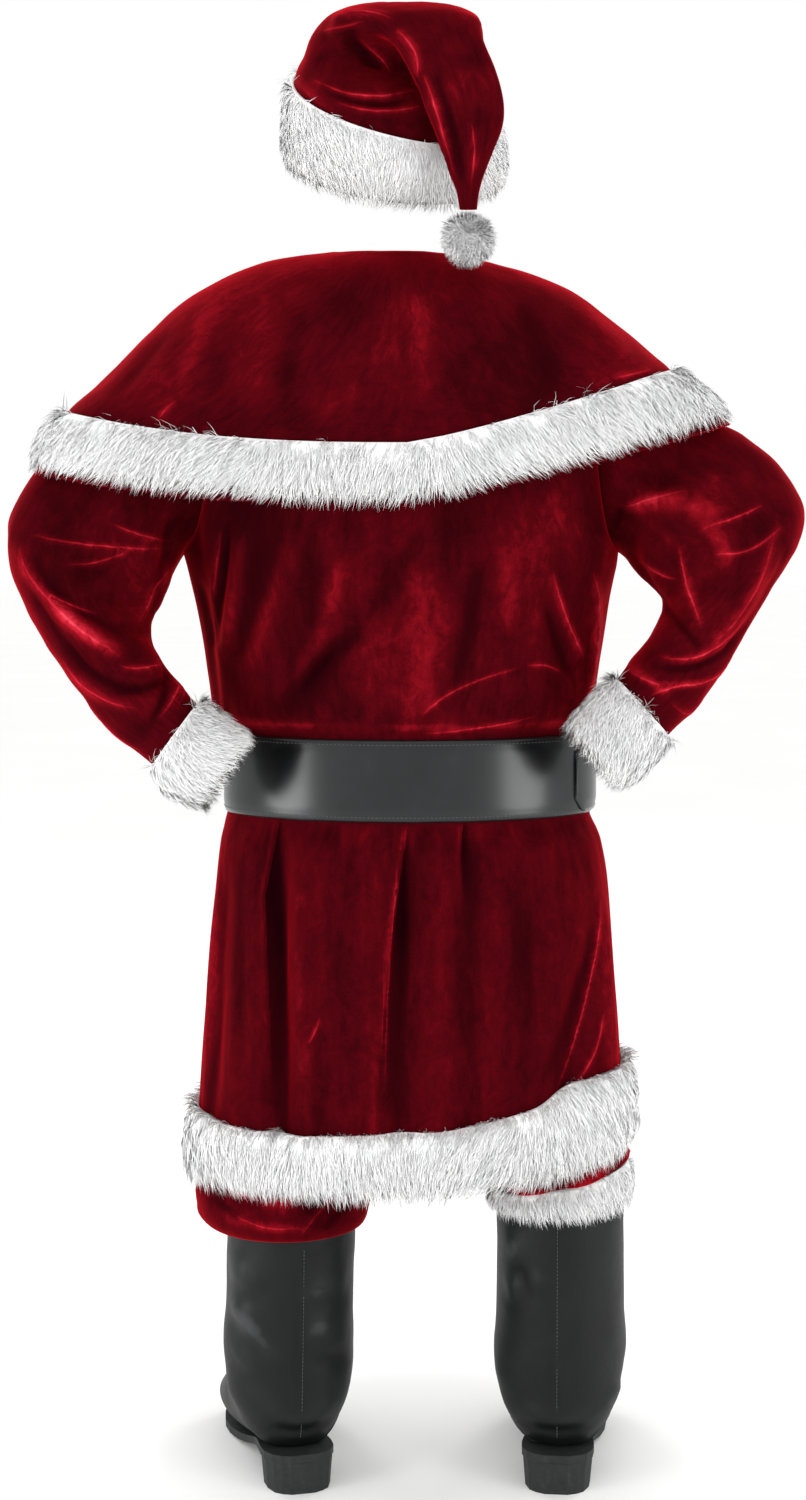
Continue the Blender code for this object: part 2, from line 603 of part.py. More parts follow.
def sleeve_grid(side, grids):
    """Rings down the sleeve. The first is the armhole, taken from the edges of the coat's panels."""
    sign = 1 if side == "left" else -1
    front = grids["coat_front_" + side]
    back_edge = grids["coat_back"][-YOKE_STEPS - 1 :, 0 if side == "left" else -1]
    front_edge = front[-YOKE_STEPS - 1 :, -1 if side == "left" else 0]
    rings = [np.concatenate([back_edge, front_edge[-2:0:-1]])]
    # The ring runs from the underarm by the back to the top, then down the front.
    turn = np.radians(180 - np.arange(2 * YOKE_STEPS) * 180 / YOKE_STEPS)
    for cut in LEFT_SLEEVE if side == "left" else RIGHT_SLEEVE:
        outer = np.array([sign * cut.outer_x, cut.middle_y, cut.outer_height - HOLD_HEIGHT])
        inner = np.array([sign * cut.inner_x, cut.middle_y, cut.inner_height - HOLD_HEIGHT])
        centre, half = (outer + inner) / 2, (outer - inner) / 2
        deep = np.array([0, cut.depth, 0])
        rings.append(centre + np.cos(turn)[:, None] * half + np.sin(turn)[:, None] * deep)
    return np.stack(rings)


def make_coat():
    """The coat's panels and sleeves. Returns their grids and normals, which its trims lie on."""
    grids = coat_grids()
    grids["sleeve_left"] = sleeve_grid("left", grids)
    grids["sleeve_right"] = sleeve_grid("right", grids)
    normals = {}
    for name, grid in grids.items():
        if name.startswith("sleeve"):
            normals[name] = normals_of(grid, closed=True)
            continue
        normals[name] = normals_of(grid, closed=False, centre=grid * np.array([0, 0, 1]))
        # Along the shoulder seam the back and the fronts meet in one upright edge.
        on_seam = np.abs(grid[-1, :, 0]) > NECK_HALF_WIDTH
        normals[name][-1, on_seam, 1] = 0
        normals[name][-1] = unit(normals[name][-1])
    share_edges(grids, normals)
    for name, grid in grids.items():
        sleeve = name.startswith("sleeve")
        inner = grid - normals[name] * CLOTH
        edges = {"rows": (sleeve, not sleeve), "columns": (not sleeve, not sleeve)}
        wall(name, drawn_in(grid, SEAM, **edges), drawn_in(inner, SEAM, **edges), "velvet", sleeve)
    return grids, normals


def make_cuffs(grids, normals):
    for side in ("left", "right"):
        rings, outs = grids["sleeve_" + side][CUFF_FROM:], normals["sleeve_" + side][CUFF_FROM:]
        fur_strip("cuff_" + side, rings, outs, FUR_CUFF, True)


def all_round(panels):
    """One row or column list all round the coat, from its three panels' own."""
    names = ("coat_back", "coat_front_right", "coat_front_left")
    return np.concatenate([panels[name][..., :-1] for name in names], axis=-1)


def make_hem_fur(grids, normals):
    panels = ("coat_back", "coat_front_right", "coat_front_left")
    lines = np.concatenate([grids[name][:2, :-1] for name in panels], axis=1)
    outs = np.concatenate([normals[name][:2, :-1] for name in panels], axis=1)
    below_edge = HEM_TURN / (HEM[0].fur_top - HEM[0].bottom)
    lines[0] += (lines[0] - lines[1]) * below_edge
    fur_strip("coat_hem_fur", lines, outs, FUR_HEM, True)


def make_front_fur(grids, normals):
    """Strips down the middle of the front, over the closure, above and below the belt."""
    left, right = "coat_front_left", "coat_front_right"
    lines = np.stack([grids[right][:, -2], grids[left][:, 0], grids[left][:, 1]])
    outs = np.stack([normals[right][:, -2], normals[left][:, 0], normals[left][:, 1]])
    above_hem, belt_row = 1, 2 + len(SKIRT_ROWS)
    spans = {"front_fur_lower": (above_hem, belt_row + 1), "front_fur_upper": (belt_row + 3, -YOKE_STEPS)}
    for name, (first, last) in spans.items():
        line, out = lines[:, first:last].copy(), outs[:, first:last].copy()
        if name == "front_fur_lower":
            line[:, 0] += unit(line[:, 1] - line[:, 0]) * FUR_OVER_HEM
        fur_strip(name, line, out, FUR_FRONT, False)


# ---------------------------------------------------------------- belt


def belt_layer(name, angles, bottom, top, lift, closed):
    """A band of leatherette round the waist, lifted clear of what is under it."""
    heights = np.array([bottom, top])[:, None]
    cloth = coat_at(angles[None, :], heights)
    out = coat_out(angles[None, :], heights)
    out[..., 2] = 0
    out = unit(out)
    return wall(name, cloth + out * (lift + LEATHER), cloth + out * lift, "leatherette", closed)


def on_belt(across, height, lift):
    """Points lift in front of the cloth, given from the belt's middle: across to the left, and up."""
    middle = (BELT_BOTTOM + BELT_TOP) / 2
    turn = 270 + np.degrees(np.arcsin(across / WAIST.left))
    level = np.full(np.shape(turn), middle)
    out = coat_out(turn, level)
    out[..., 2] = 0
    return coat_at(turn, level) + unit(out) * lift + np.stack([0 * height, 0 * height, height], axis=-1)


def make_buckle(lift):
    """A plain frame round the belt's front, with a prong across it."""
    corner = np.radians(np.linspace(0, 90, BUCKLE_CORNER_STEPS))
    bar = np.linspace(1, -1, 5)[1:-1, None]
    reach = np.array([BUCKLE_HALF_WIDTH, BUCKLE_HALF_HEIGHT])
    straight = reach - BUCKLE_CORNER
    path = []
    for quarter, side in enumerate(((1, 1), (-1, 1), (-1, -1), (1, -1))):
        turn = corner + math.radians(90 * quarter)
        round_it = np.stack([np.cos(turn), np.sin(turn)], axis=-1) * BUCKLE_CORNER
        path.append(np.array(side) * straight + round_it)
        # Points along the bar that follows, so that it keeps to the belt's curve.
        along_bar = np.array([1, 0]) if quarter % 2 == 0 else np.array([0, 1])
        way = 1 if quarter < 2 else -1
        path.append(way * (along_bar * bar * straight + np.flip(along_bar) * reach * BAR_SIDES[quarter]))
    path = np.concatenate(path)
    inner_share = 1 - BUCKLE_BAR / reach
    rings = []
    for share, rise in ((1.0, 0.0), (inner_share, 0.0), (inner_share, BUCKLE_THICK), (1.0, BUCKLE_THICK)):
        line = path * share
        rings.append(on_belt(line[:, 0], line[:, 1], lift + rise))
    count = len(path)
    faces = []
    for i in range(4):
        for j in range(count):
            k, m = (j + 1) % count, (i + 1) % 4
            faces.append([i * count + j, i * count + k, m * count + k, m * count + j])
    add_object("belt_buckle", np.concatenate(rings), faces, "brass")
    across = np.linspace(-BUCKLE_HALF_WIDTH, BUCKLE_HALF_WIDTH, 7)[None, :] * np.ones((2, 1))
    height = np.array([[-PRONG_HALF_WIDTH], [PRONG_HALF_WIDTH]]) * np.ones((1, 7))
    above = lift + BUCKLE_THICK + SEAM
    face, back = on_belt(across, height, above + PRONG_THICK), on_belt(across, height, above)
    wall("belt_prong", face, back, "brass", False)


def make_belt():
    around = all_round(coat_angles())
    belt_layer("belt", around, BELT_BOTTOM, BELT_TOP, LIE, True)
    over = LIE + LEATHER + SEAM
    overlap = around[(around >= BELT_END_FROM) & (around <= BELT_END_TO)]
    belt_layer("belt_end", overlap, BELT_BOTTOM + BELT_END_INSET, BELT_TOP - BELT_END_INSET, over, False)
    make_buckle(over)


# ---------------------------------------------------------------- cape


def cape_grid():
    angles = 270 + (np.arange(CAPE_COLUMNS + 1) * 360 / CAPE_COLUMNS)
    turn = np.radians(angles)
    rows = []
    for ring in CAPE:
        across = squared(np.cos(turn), ring.square)
        deep = squared(np.sin(turn), ring.square)
        x = across * np.where(across > 0, ring.left, ring.right)
        y = deep * np.where(deep > 0, ring.back, ring.front)
        side = np.where(across > 0, ring.left_h, ring.right_h)
        end = np.where(deep > 0, ring.back_h, ring.front_h)
        share = np.abs(across) ** np.where(across > 0, CAPE_RISE_LEFT, CAPE_RISE_RIGHT)
        rows.append(stacked(x, y, side * share + end * (1 - share)))
    return np.stack(rows)


def make_cape():
    grid = cape_grid()
    closed = grid[:, :-1]
    normals = normals_of(closed, closed=True, centre=np.array([0.0, 0.0, 1.1 - HOLD_HEIGHT]))
    normals = np.concatenate([normals, normals[:, :1]], axis=1)
    edges = {"rows": (False, False), "columns": (True, True)}
    inner = grid - normals * CLOTH
    wall("cape", drawn_in(grid, SEAM, **edges), drawn_in(inner, SEAM, **edges), "velvet", False)
    lines = drawn_in(grid[-2:], SEAM, rows=(False, False))
    fur_strip("cape_fur", lines, normals[-2:], FUR_CAPE, False)
    make_clasp(grid, normals)


def make_clasp(grid, normals):
    """A round clasp that holds the cape shut at the neck."""
    lift = CLASP_THICKNESS / 2 + CLASP_ABOVE
    centre = (grid[0, 0] + grid[1, 0]) / 2
    out = Vector(unit(normals[0, 0] + normals[1, 0]))
    work = bmesh.new()
    bmesh.ops.create_cone(
        work,
        cap_ends=True,
        segments=CLASP_SIDES,
        radius1=CLASP_RADIUS,
        radius2=CLASP_FACE_RADIUS,
        depth=CLASP_THICKNESS,
    )
    turn = Vector((0, 0, 1)).rotation_difference(out).to_matrix().to_4x4()
    bmesh.ops.transform(work, matrix=turn, verts=work.verts)
    points = [Vector(centre) + v.co + out * lift for v in work.verts]
    faces = [[v.index for v in face.verts] for face in work.faces]
    work.free()
    add_object("cape_clasp", points, faces, "brass")


# ---------------------------------------------------------------- hat


def hat_grid():
    turn = np.arange(HAT_COLUMNS) * 2 * math.pi / HAT_COLUMNS
    rows = []
    for cut in HAT:
        pitch, roll = math.radians(cut.pitch), math.radians(cut.roll)
        across = squared(np.cos(turn), cut.square) * cut.half_width
        deep = squared(np.sin(turn), cut.square) * cut.half_depth
        height = cut.height + across * math.sin(roll) - deep * math.sin(pitch)
        rows.append(stacked(cut.x + across * math.cos(roll), cut.y + deep * math.cos(pitch), height))
    return np.stack(rows)


def make_hat():
    grid = hat_grid()
    normals = normals_of(grid, closed=True)
    wall("hat_crown", grid, grid - normals * CLOTH, "velvet", True, shut_end=True)
    fur_strip("hat_fur", grid[:2], normals[:2], FUR_HAT, True)
    tip = grid[-1].mean(axis=0)
    work = bmesh.new()
    bmesh.ops.create_icosphere(work, subdivisions=2, radius=POMPOM_RADIUS)
    centre = Vector(tip) - Vector((0, 0, POMPOM_RADIUS + SEAM))
    points = [centre + v.co for v in work.verts]
    faces = [[v.index for v in face.verts] for face in work.faces]
    work.free()
    add_object("hat_pompom", points, faces, "fur")


# ---------------------------------------------------------------- trousers


def leg_grid(side):
    sign = 1 if side == "left" else -1
    share = np.linspace(-1, 1, LEG_COLUMNS + 1)
    rows = []
    for cut in (LEFT_LEG if side == "left" else RIGHT_LEG) + HIP:
        turn = np.radians(share * cut.wrap)
        middle_gap = SEAM / 2
        half = cut.half_width
        if half is None:
            half = (cut.reach - middle_gap) / (1 - math.cos(math.radians(cut.wrap)))
        x = cut.reach - half * (1 - np.cos(turn))
        y = cut.middle_y + np.where(turn > 0, cut.back, cut.front) * np.sin(turn)
        height = cut.height + cut.rise * (x - cut.reach + half)
        rows.append(stacked(sign * x, y, height))
    return np.stack(rows)


def make_trousers():
    for side in ("left", "right"):
        grid = leg_grid(side)
        normals = normals_of(grid, closed=False, centre=grid.mean(axis=1, keepdims=True))
        normals[-1, :, 2] = 0
        normals[-1] = unit(normals[-1])
        wall("trouser_" + side, grid, grid - normals * CLOTH, "velvet", False)
    angles = all_round(coat_angles())
    heights = np.array([HIP[-1].height + SEAM, WAISTBAND_TOP])[:, None]
    cloth = coat_at(angles[None, :], heights)
    out = unit(coat_out(angles[None, :], heights) * np.array([1, 1, 0]))
    outer = cloth - out * (CLOTH + LIE)
    wall("trouser_waistband", outer, outer - out * WAISTBAND, "velvet", True)


# ---------------------------------------------------------------- boots


def boot_frame(place):
    turn = math.radians(place.turn)
    forward = np.array([math.sin(turn), -math.cos(turn), 0.0])
    sideways = np.array([math.cos(turn), math.sin(turn), 0.0])
    return np.array([place.x, place.y, -HOLD_HEIGHT]), forward, sideways


def in_boot(place, sideways_by, back_by, height):
    """Points given in a boot's own directions, put where the boot stands."""
    origin, forward, sideways = boot_frame(place)
    across, back, up = np.broadcast_arrays(sideways_by, back_by, height)
    upward = np.array([0.0, 0.0, 1.0])
    return origin + across[..., None] * sideways - back[..., None] * forward + up[..., None] * upward


def sole_rows():
    """The sole's rows from heel to toe, as columns of numbers."""
    return resampled(SOLE, SOLE_ROWS)


def sole_top(back):
    table = sole_rows()
    return np.interp(back, table["y"][::-1], table["top"][::-1])


def boot_rings(place, cuts, count):
    table = resampled(cuts, count)
    turn = np.arange(BOOT_COLUMNS) * 2 * math.pi / BOOT_COLUMNS
    pitch = np.radians(table["pitch"])[:, None]
    across = np.cos(turn)[None, :] * table["half_width"][:, None]
    deep = np.sin(turn)[None, :] * table["half_depth"][:, None]
    back = table["y"][:, None] - deep * np.cos(pitch)
    up = table["height"][:, None] - deep * np.sin(pitch)
    up = np.maximum(up, sole_top(back) + UPPER_ON_SOLE)
    return in_boot(place, across, back, up)


def make_upper(place):
    """The shaft and the foot of a boot, sewn together round the ankle."""
    grids = {"boot_shaft_": boot_rings(place, SHAFT, 9), "boot_foot_": boot_rings(place, FOOT, 9)}
    normals = {name: normals_of(grid, closed=True) for name, grid in grids.items()}
    share_edges(grids, normals)
    for name, grid in grids.items():
        foot = name == "boot_foot_"
        edges = {"rows": (foot, not foot), "columns": (False, False)}
        inner = grid - normals[name] * LEATHER
        outer, inner = drawn_in(grid, SEAM, **edges), drawn_in(inner, SEAM, **edges)
        wall(name + place.side, outer, inner, "boot_leatherette", True, shut_end=foot)


def make_boot_fur(place):
    turn = np.arange(BOOT_COLUMNS) * 2 * math.pi / BOOT_COLUMNS
    outward = 1 if place.side == "left" else -1
    across = np.cos(turn) * max(SHAFT[0].half_width, SHAFT[1].half_width)
    back = np.sin(turn) * max(SHAFT[0].half_depth, SHAFT[1].half_depth) + SHAFT[0].y
    top = place.fur_top + place.fur_rise * across * outward
    lower = in_boot(place, across, back, place.fur_bottom)
    lines = np.stack([lower, in_boot(place, across, back, top)])
    outs = unit((lines - lines.mean(axis=1, keepdims=True)) * np.array([1, 1, 0]))
    fur_strip("boot_fur_" + place.side, lines, outs, FUR_BOOT, True)


def make_sole(place):
    table = sole_rows()
    left = in_boot(place, table["half_width"], table["y"], table["top"])
    right = in_boot(place, -table["half_width"], table["y"], table["top"])
    top = np.stack([left, right])
    wall("boot_sole_" + place.side, top, top - np.array([0, 0, SOLE_THICKNESS]), "rubber", False)


def make_heel(place):
    table = sole_rows()
    under = table["y"] >= table["y"][0] - HEEL_LENGTH
    back, half = table["y"][under], table["half_width"][under]
    loop = np.concatenate([back, back[::-1]])
    wide = np.concatenate([half, -half[::-1]])
    top = sole_top(loop) - SOLE_THICKNESS - SEAM
    upper = in_boot(place, wide * HEEL_TOP_SHARE, loop, top)
    lower = in_boot(place, wide * HEEL_TIP_SHARE, loop, 0 * top)
    count = len(loop)
    faces = [[j, (j + 1) % count, count + (j + 1) % count, count + j] for j in range(count)]
    # The top follows the sole's rows; the tip is flat.
    rows = len(back)
    faces += [[i, i + 1, count - 2 - i, count - 1 - i] for i in range(rows - 1)]
    faces.append([count + j for j in range(count)][::-1])
    add_object("boot_heel_" + place.side, np.concatenate([upper, lower]), faces, "rubber")


def make_boot(place):
    make_upper(place)
    make_boot_fur(place)
    make_sole(place)
    make_heel(place)


def main():
    for obj in list(bpy.data.objects):
        bpy.data.objects.remove(obj, do_unlink=True)
    grids, normals = make_coat()
    make_cuffs(grids, normals)
    make_hem_fur(grids, normals)
    make_front_fur(grids, normals)
    make_belt()
    make_cape()
    make_hat()
    make_trousers()
    for place in BOOTS:
        make_boot(place)


main()
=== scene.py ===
"""Dresses the Santa suit's fixed frame in velvet, fur and leatherette.

Metres, +Z up. The front of the suit faces -Y and the wearer's left is +X. The tables give heights
above the soles; the origin is HOLD_HEIGHT up, between the shoulders.
"""

import json
import math
from collections import namedtuple

import bmesh
import bpy
import numpy as np
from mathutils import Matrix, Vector

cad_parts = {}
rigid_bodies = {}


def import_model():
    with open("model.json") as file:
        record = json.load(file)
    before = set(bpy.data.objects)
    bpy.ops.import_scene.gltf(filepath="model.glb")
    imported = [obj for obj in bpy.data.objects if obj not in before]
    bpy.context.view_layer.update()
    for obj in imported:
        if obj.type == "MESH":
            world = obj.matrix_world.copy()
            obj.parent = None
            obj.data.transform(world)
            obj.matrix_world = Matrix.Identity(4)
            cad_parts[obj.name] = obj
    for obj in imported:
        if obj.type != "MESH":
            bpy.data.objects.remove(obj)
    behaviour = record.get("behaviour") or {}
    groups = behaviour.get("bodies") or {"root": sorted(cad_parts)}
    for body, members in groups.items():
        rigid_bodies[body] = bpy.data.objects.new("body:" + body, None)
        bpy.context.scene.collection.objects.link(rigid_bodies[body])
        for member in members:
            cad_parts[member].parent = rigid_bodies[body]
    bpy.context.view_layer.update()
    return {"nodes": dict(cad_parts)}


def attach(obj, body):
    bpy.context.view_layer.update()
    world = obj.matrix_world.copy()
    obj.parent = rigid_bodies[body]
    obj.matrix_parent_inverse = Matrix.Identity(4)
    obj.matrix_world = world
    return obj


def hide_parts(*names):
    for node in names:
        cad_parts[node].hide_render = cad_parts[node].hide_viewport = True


bl_info = {
    "name": "Santa suit",
    "version": (1, 0, 0),
    "blender": (4, 5, 0),
    "location": "View3D > Sidebar > Santa suit",
    "description": "Velvet, fur and leatherette over the suit's fixed frame",
    "category": "Add Mesh",
}

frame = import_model()

HOLD_HEIGHT = 1.46
CLOTH = 0.002  # velvet wall
LEATHER = 0.003  # belt and boot wall
SEAM = 0.0003  # between two pieces along a seam
LIE = 0.0009  # under a strip that lies on a panel
# The finish and the thickness of the sheets in each slot.
SHEETS = {
    "velvet": ("crushed_velvet", CLOTH),
    "belt": ("belt_leatherette", LEATHER),
    "boots": ("boot_leatherette", LEATHER),
}

# ---------------------------------------------------------------- coat sizes

# Level cuts through the coat: how far the cloth reaches to each side of the middle.
Section = namedtuple("Section", "height left right back front square")
WAIST = Section(0.855, 0.222, 0.226, 0.140, 0.155, 2.0)
COAT = (
    Section(0.380, 0.266, 0.278, 0.176, 0.186, 2.1),
    Section(0.500, 0.259, 0.270, 0.172, 0.184, 2.1),
    Section(0.680, 0.245, 0.257, 0.166, 0.182, 2.1),
    Section(0.760, 0.238, 0.250, 0.161, 0.178, 2.1),
    Section(0.820, 0.231, 0.240, 0.153, 0.170, 2.1),
    Section(0.848, 0.224, 0.228, 0.142, 0.157, 2.0),
    WAIST,
    WAIST._replace(height=0.960),
    Section(0.970, 0.231, 0.229, 0.148, 0.164, 2.0),
    Section(0.985, 0.239, 0.231, 0.155, 0.172, 2.1),
    Section(1.020, 0.244, 0.234, 0.158, 0.176, 2.2),
    Section(1.060, 0.250, 0.239, 0.158, 0.176, 2.2),
    Section(1.110, 0.259, 0.245, 0.157, 0.172, 2.2),
    Section(1.175, 0.274, 0.258, 0.156, 0.165, 2.2),
)
UNDERARM_HEIGHT = COAT[-1].height
HEM_TURN = 0.008  # the fur's lower edge hangs this far below the cloth's
FUR_OVER_HEM = 0.008  # clear of the hem fur's rounded upper edge
BELT_BOTTOM = 0.858
BELT_TOP = 0.956

# The lower edge of the coat and the upper edge of its fur, round from the left side by the back.
HemPoint = namedtuple("HemPoint", "angle bottom fur_top")
HEM = (
    HemPoint(0, 0.400, 0.490),
    HemPoint(45, 0.412, 0.484),
    HemPoint(90, 0.418, 0.492),
    HemPoint(122, 0.424, 0.514),
    HemPoint(140, 0.432, 0.540),
    HemPoint(180, 0.443, 0.548),
    HemPoint(270, 0.425, 0.505),
    HemPoint(360, 0.400, 0.490),
)

# Above the underarm: the armhole's edge, and the middle of the back and of the front at that row.
Yoke = namedtuple("Yoke", "edge_x edge_back edge_front edge_height back back_height front front_height")
YOKE = (
    Yoke(0.266, 0.000, 0.000, 1.175, 0.156, 1.175, 0.165, 1.175),
    Yoke(0.249, 0.052, 0.050, 1.196, 0.160, 1.222, 0.166, 1.215),
    Yoke(0.236, 0.080, 0.076, 1.242, 0.162, 1.275, 0.164, 1.258),
    Yoke(0.228, 0.090, 0.084, 1.300, 0.156, 1.332, 0.158, 1.305),
    Yoke(0.226, 0.080, 0.076, 1.358, 0.141, 1.390, 0.146, 1.352),
    Yoke(0.230, 0.048, 0.046, 1.410, 0.114, 1.445, 0.124, 1.402),
    Yoke(0.236, 0.000, 0.000, 1.438, 0.078, 1.495, 0.090, 1.450),
)
YOKE_SQUARE = 2.2
YOKE_DIP = 1.5  # how late a row of the yoke leaves its height at the armhole
YOKE_TO_SEAM = 6  # how late the rows turn to the shoulder seam
BESIDE = 0.2  # degrees round, and metres up, between places that give the cloth's slope
ABOVE = 0.001
NECK_HALF_WIDTH = 0.088
NECK_SIDE_HEIGHT = 1.500
SHOULDER_TILT = 0.06  # rise per metre towards the wearer's left

# Soft folds: a ridge where depth is above zero and a trough below, along a line on the coat.
Fold = namedtuple("Fold", "angle_low low angle_high high depth width")
COAT_FOLDS = (
    Fold(55, 0.44, 50, 0.84, -0.016, 5.0),
    Fold(63, 0.44, 58, 0.84, 0.006, 5.0),
    Fold(88, 0.44, 90, 0.84, -0.015, 5.0),
    Fold(98, 0.44, 98, 0.84, 0.006, 5.0),
    Fold(106, 0.60, 108, 0.84, -0.007, 5.0),
    Fold(127, 0.46, 148, 0.70, -0.009, 6.0),
    Fold(160, 0.46, 163, 0.76, 0.006, 7.0),
    Fold(22, 0.46, 20, 0.80, -0.008, 7.0),
    Fold(305, 0.44, 308, 0.84, -0.014, 6.0),
    Fold(232, 0.44, 230, 0.84, -0.014, 6.0),
    Fold(335, 0.46, 338, 0.78, 0.007, 7.0),
    Fold(203, 0.46, 205, 0.78, 0.007, 7.0),
    Fold(56, 0.965, 76, 1.06, -0.007, 7.0),
    Fold(94, 0.97, 116, 1.05, -0.005, 7.0),
    Fold(127, 1.00, 126, 1.12, 0.005, 6.0),
    Fold(152, 0.97, 156, 1.10, 0.006, 7.0),
    Fold(16, 0.98, 18, 1.14, -0.006, 6.0),
    Fold(236, 0.97, 232, 1.12, -0.006, 8.0),
    Fold(304, 0.97, 310, 1.12, -0.006, 8.0),
)

# ---------------------------------------------------------------- belt sizes

BELT_END_FROM = 152  # degrees round the waist: the belt's free end lies on the belt here
BELT_END_TO = 192
BELT_END_INSET = 0.003
BELT_POINT_DEGREES = 7.0  # round the waist, from the belt's tip, where it narrows to a blunt point
BELT_POINT_DROP = 0.34  # of the width
BELT_POINT_CURVE = 1.6

# ---------------------------------------------------------------- sleeve sizes

# Cuts across a sleeve: its outer and inner side seen from behind, and how deep it is.
Cut = namedtuple("Cut", "outer_x outer_height inner_x inner_height middle_y depth")
LEFT_SLEEVE = (
    Cut(0.296, 1.418, 0.284, 1.150, 0.012, 0.090),
    Cut(0.356, 1.368, 0.292, 1.128, 0.034, 0.086),
    Cut(0.413, 1.311, 0.300, 1.110, 0.045, 0.080),
    Cut(0.455, 1.255, 0.306, 1.099, 0.059, 0.080),
    Cut(0.476, 1.205, 0.307, 1.090, 0.076, 0.081),
    Cut(0.470, 1.160, 0.305, 1.078, 0.092, 0.081),
    Cut(0.449, 1.110, 0.300, 1.066, 0.106, 0.076),
    Cut(0.420, 1.058, 0.293, 1.054, 0.112, 0.068),
    Cut(0.382, 1.005, 0.283, 1.038, 0.118, 0.058),
    Cut(0.344, 0.960, 0.269, 1.021, 0.125, 0.053),
    Cut(0.304, 0.930, 0.252, 1.003, 0.133, 0.044),
    Cut(0.276, 0.904, 0.222, 0.974, 0.141, 0.042),
    Cut(0.236, 0.882, 0.189, 0.955, 0.148, 0.040),
)
RIGHT_SLEEVE = (
    Cut(0.294, 1.388, 0.268, 1.166, 0.012, 0.090),
    Cut(0.348, 1.345, 0.278, 1.150, 0.034, 0.086),
    Cut(0.405, 1.313, 0.288, 1.138, 0.055, 0.082),
    Cut(0.448, 1.271, 0.298, 1.128, 0.071, 0.081),
    Cut(0.470, 1.224, 0.304, 1.118, 0.085, 0.080),
    Cut(0.461, 1.184, 0.303, 1.107, 0.096, 0.077),
    Cut(0.437, 1.143, 0.297, 1.094, 0.104, 0.072),
    Cut(0.409, 1.096, 0.289, 1.081, 0.111, 0.066),
    Cut(0.378, 1.046, 0.278, 1.066, 0.118, 0.058),
    Cut(0.344, 0.998, 0.264, 1.050, 0.125, 0.053),
    Cut(0.312, 0.967, 0.252, 1.034, 0.134, 0.044),
    Cut(0.277, 0.932, 0.222, 0.994, 0.144, 0.042),
    Cut(0.243, 0.907, 0.190, 0.966, 0.151, 0.040),
)

# ---------------------------------------------------------------- cape sizes

# Rows of the cape from the neck out: reach and height at the left, the right, the back and the front.
Ring = namedtuple("Ring", "left left_h right right_h back back_h front front_h square")
CAPE = (
    Ring(0.094, 1.532, 0.094, 1.522, 0.086, 1.528, 0.100, 1.482, 2.0),
    Ring(0.150, 1.526, 0.144, 1.510, 0.118, 1.508, 0.134, 1.458, 2.0),
    Ring(0.204, 1.511, 0.196, 1.490, 0.148, 1.476, 0.162, 1.424, 2.1),
    Ring(0.260, 1.482, 0.240, 1.458, 0.172, 1.432, 0.186, 1.380, 2.3),
    Ring(0.312, 1.434, 0.272, 1.431, 0.184, 1.384, 0.198, 1.330, 2.6),
    Ring(0.362, 1.386, 0.295, 1.411, 0.188, 1.340, 0.202, 1.280, 2.8),
    Ring(0.410, 1.341, 0.318, 1.390, 0.190, 1.302, 0.204, 1.232, 3.2),
    Ring(0.448, 1.272, 0.388, 1.328, 0.194, 1.230, 0.206, 1.156, 3.4),
)
CAPE_RISE_LEFT = 2.6  # how late the hem rises on its way round to each arm
CAPE_RISE_RIGHT = 1.2

# ---------------------------------------------------------------- hat sizes

# Cuts across the hat from its rim up over the top and down the tail. Pitch turns a level cut
# backwards, and roll lifts its left side.
HatCut = namedtuple("HatCut", "x y height half_width half_depth pitch roll square")
HAT = (
    HatCut(0.016, -0.012, 1.636, 0.125, 0.117, 27, 6, 2.1),
    HatCut(0.0145, 0.020, 1.704, 0.1235, 0.116, 27, 13, 2.1),
    HatCut(0.012, 0.030, 1.738, 0.113, 0.096, 30, 11, 2.1),
    HatCut(0.010, 0.038, 1.764, 0.104, 0.072, 40, 8, 2.3),
    HatCut(0.005, 0.055, 1.781, 0.095, 0.045, 62, 4, 2.5),
    HatCut(0.000, 0.083, 1.786, 0.084, 0.027, 90, 0, 2.6),
    HatCut(-0.018, 0.113, 1.780, 0.066, 0.020, 122, 0, 2.4),
    HatCut(-0.036, 0.133, 1.757, 0.052, 0.017, 150, 0, 2.2),
    HatCut(-0.052, 0.146, 1.724, 0.049, 0.016, 168, 0, 2.2),
    HatCut(-0.064, 0.150, 1.690, 0.046, 0.015, 176, 0, 2.2),
    HatCut(-0.0695, 0.151, 1.653, 0.0365, 0.014, 180, 0, 2.1),
    HatCut(-0.0685, 0.150, 1.616, 0.0225, 0.012, 181, 0, 2.0),
    HatCut(-0.0695, 0.149, 1.585, 0.0125, 0.009, 182, 0, 2.0),
    HatCut(-0.070, 0.148, 1.568, 0.010, 0.008, 182, 0, 2.0),
)
POMPOM_RADIUS = 0.033

# ---------------------------------------------------------------- trouser and boot sizes

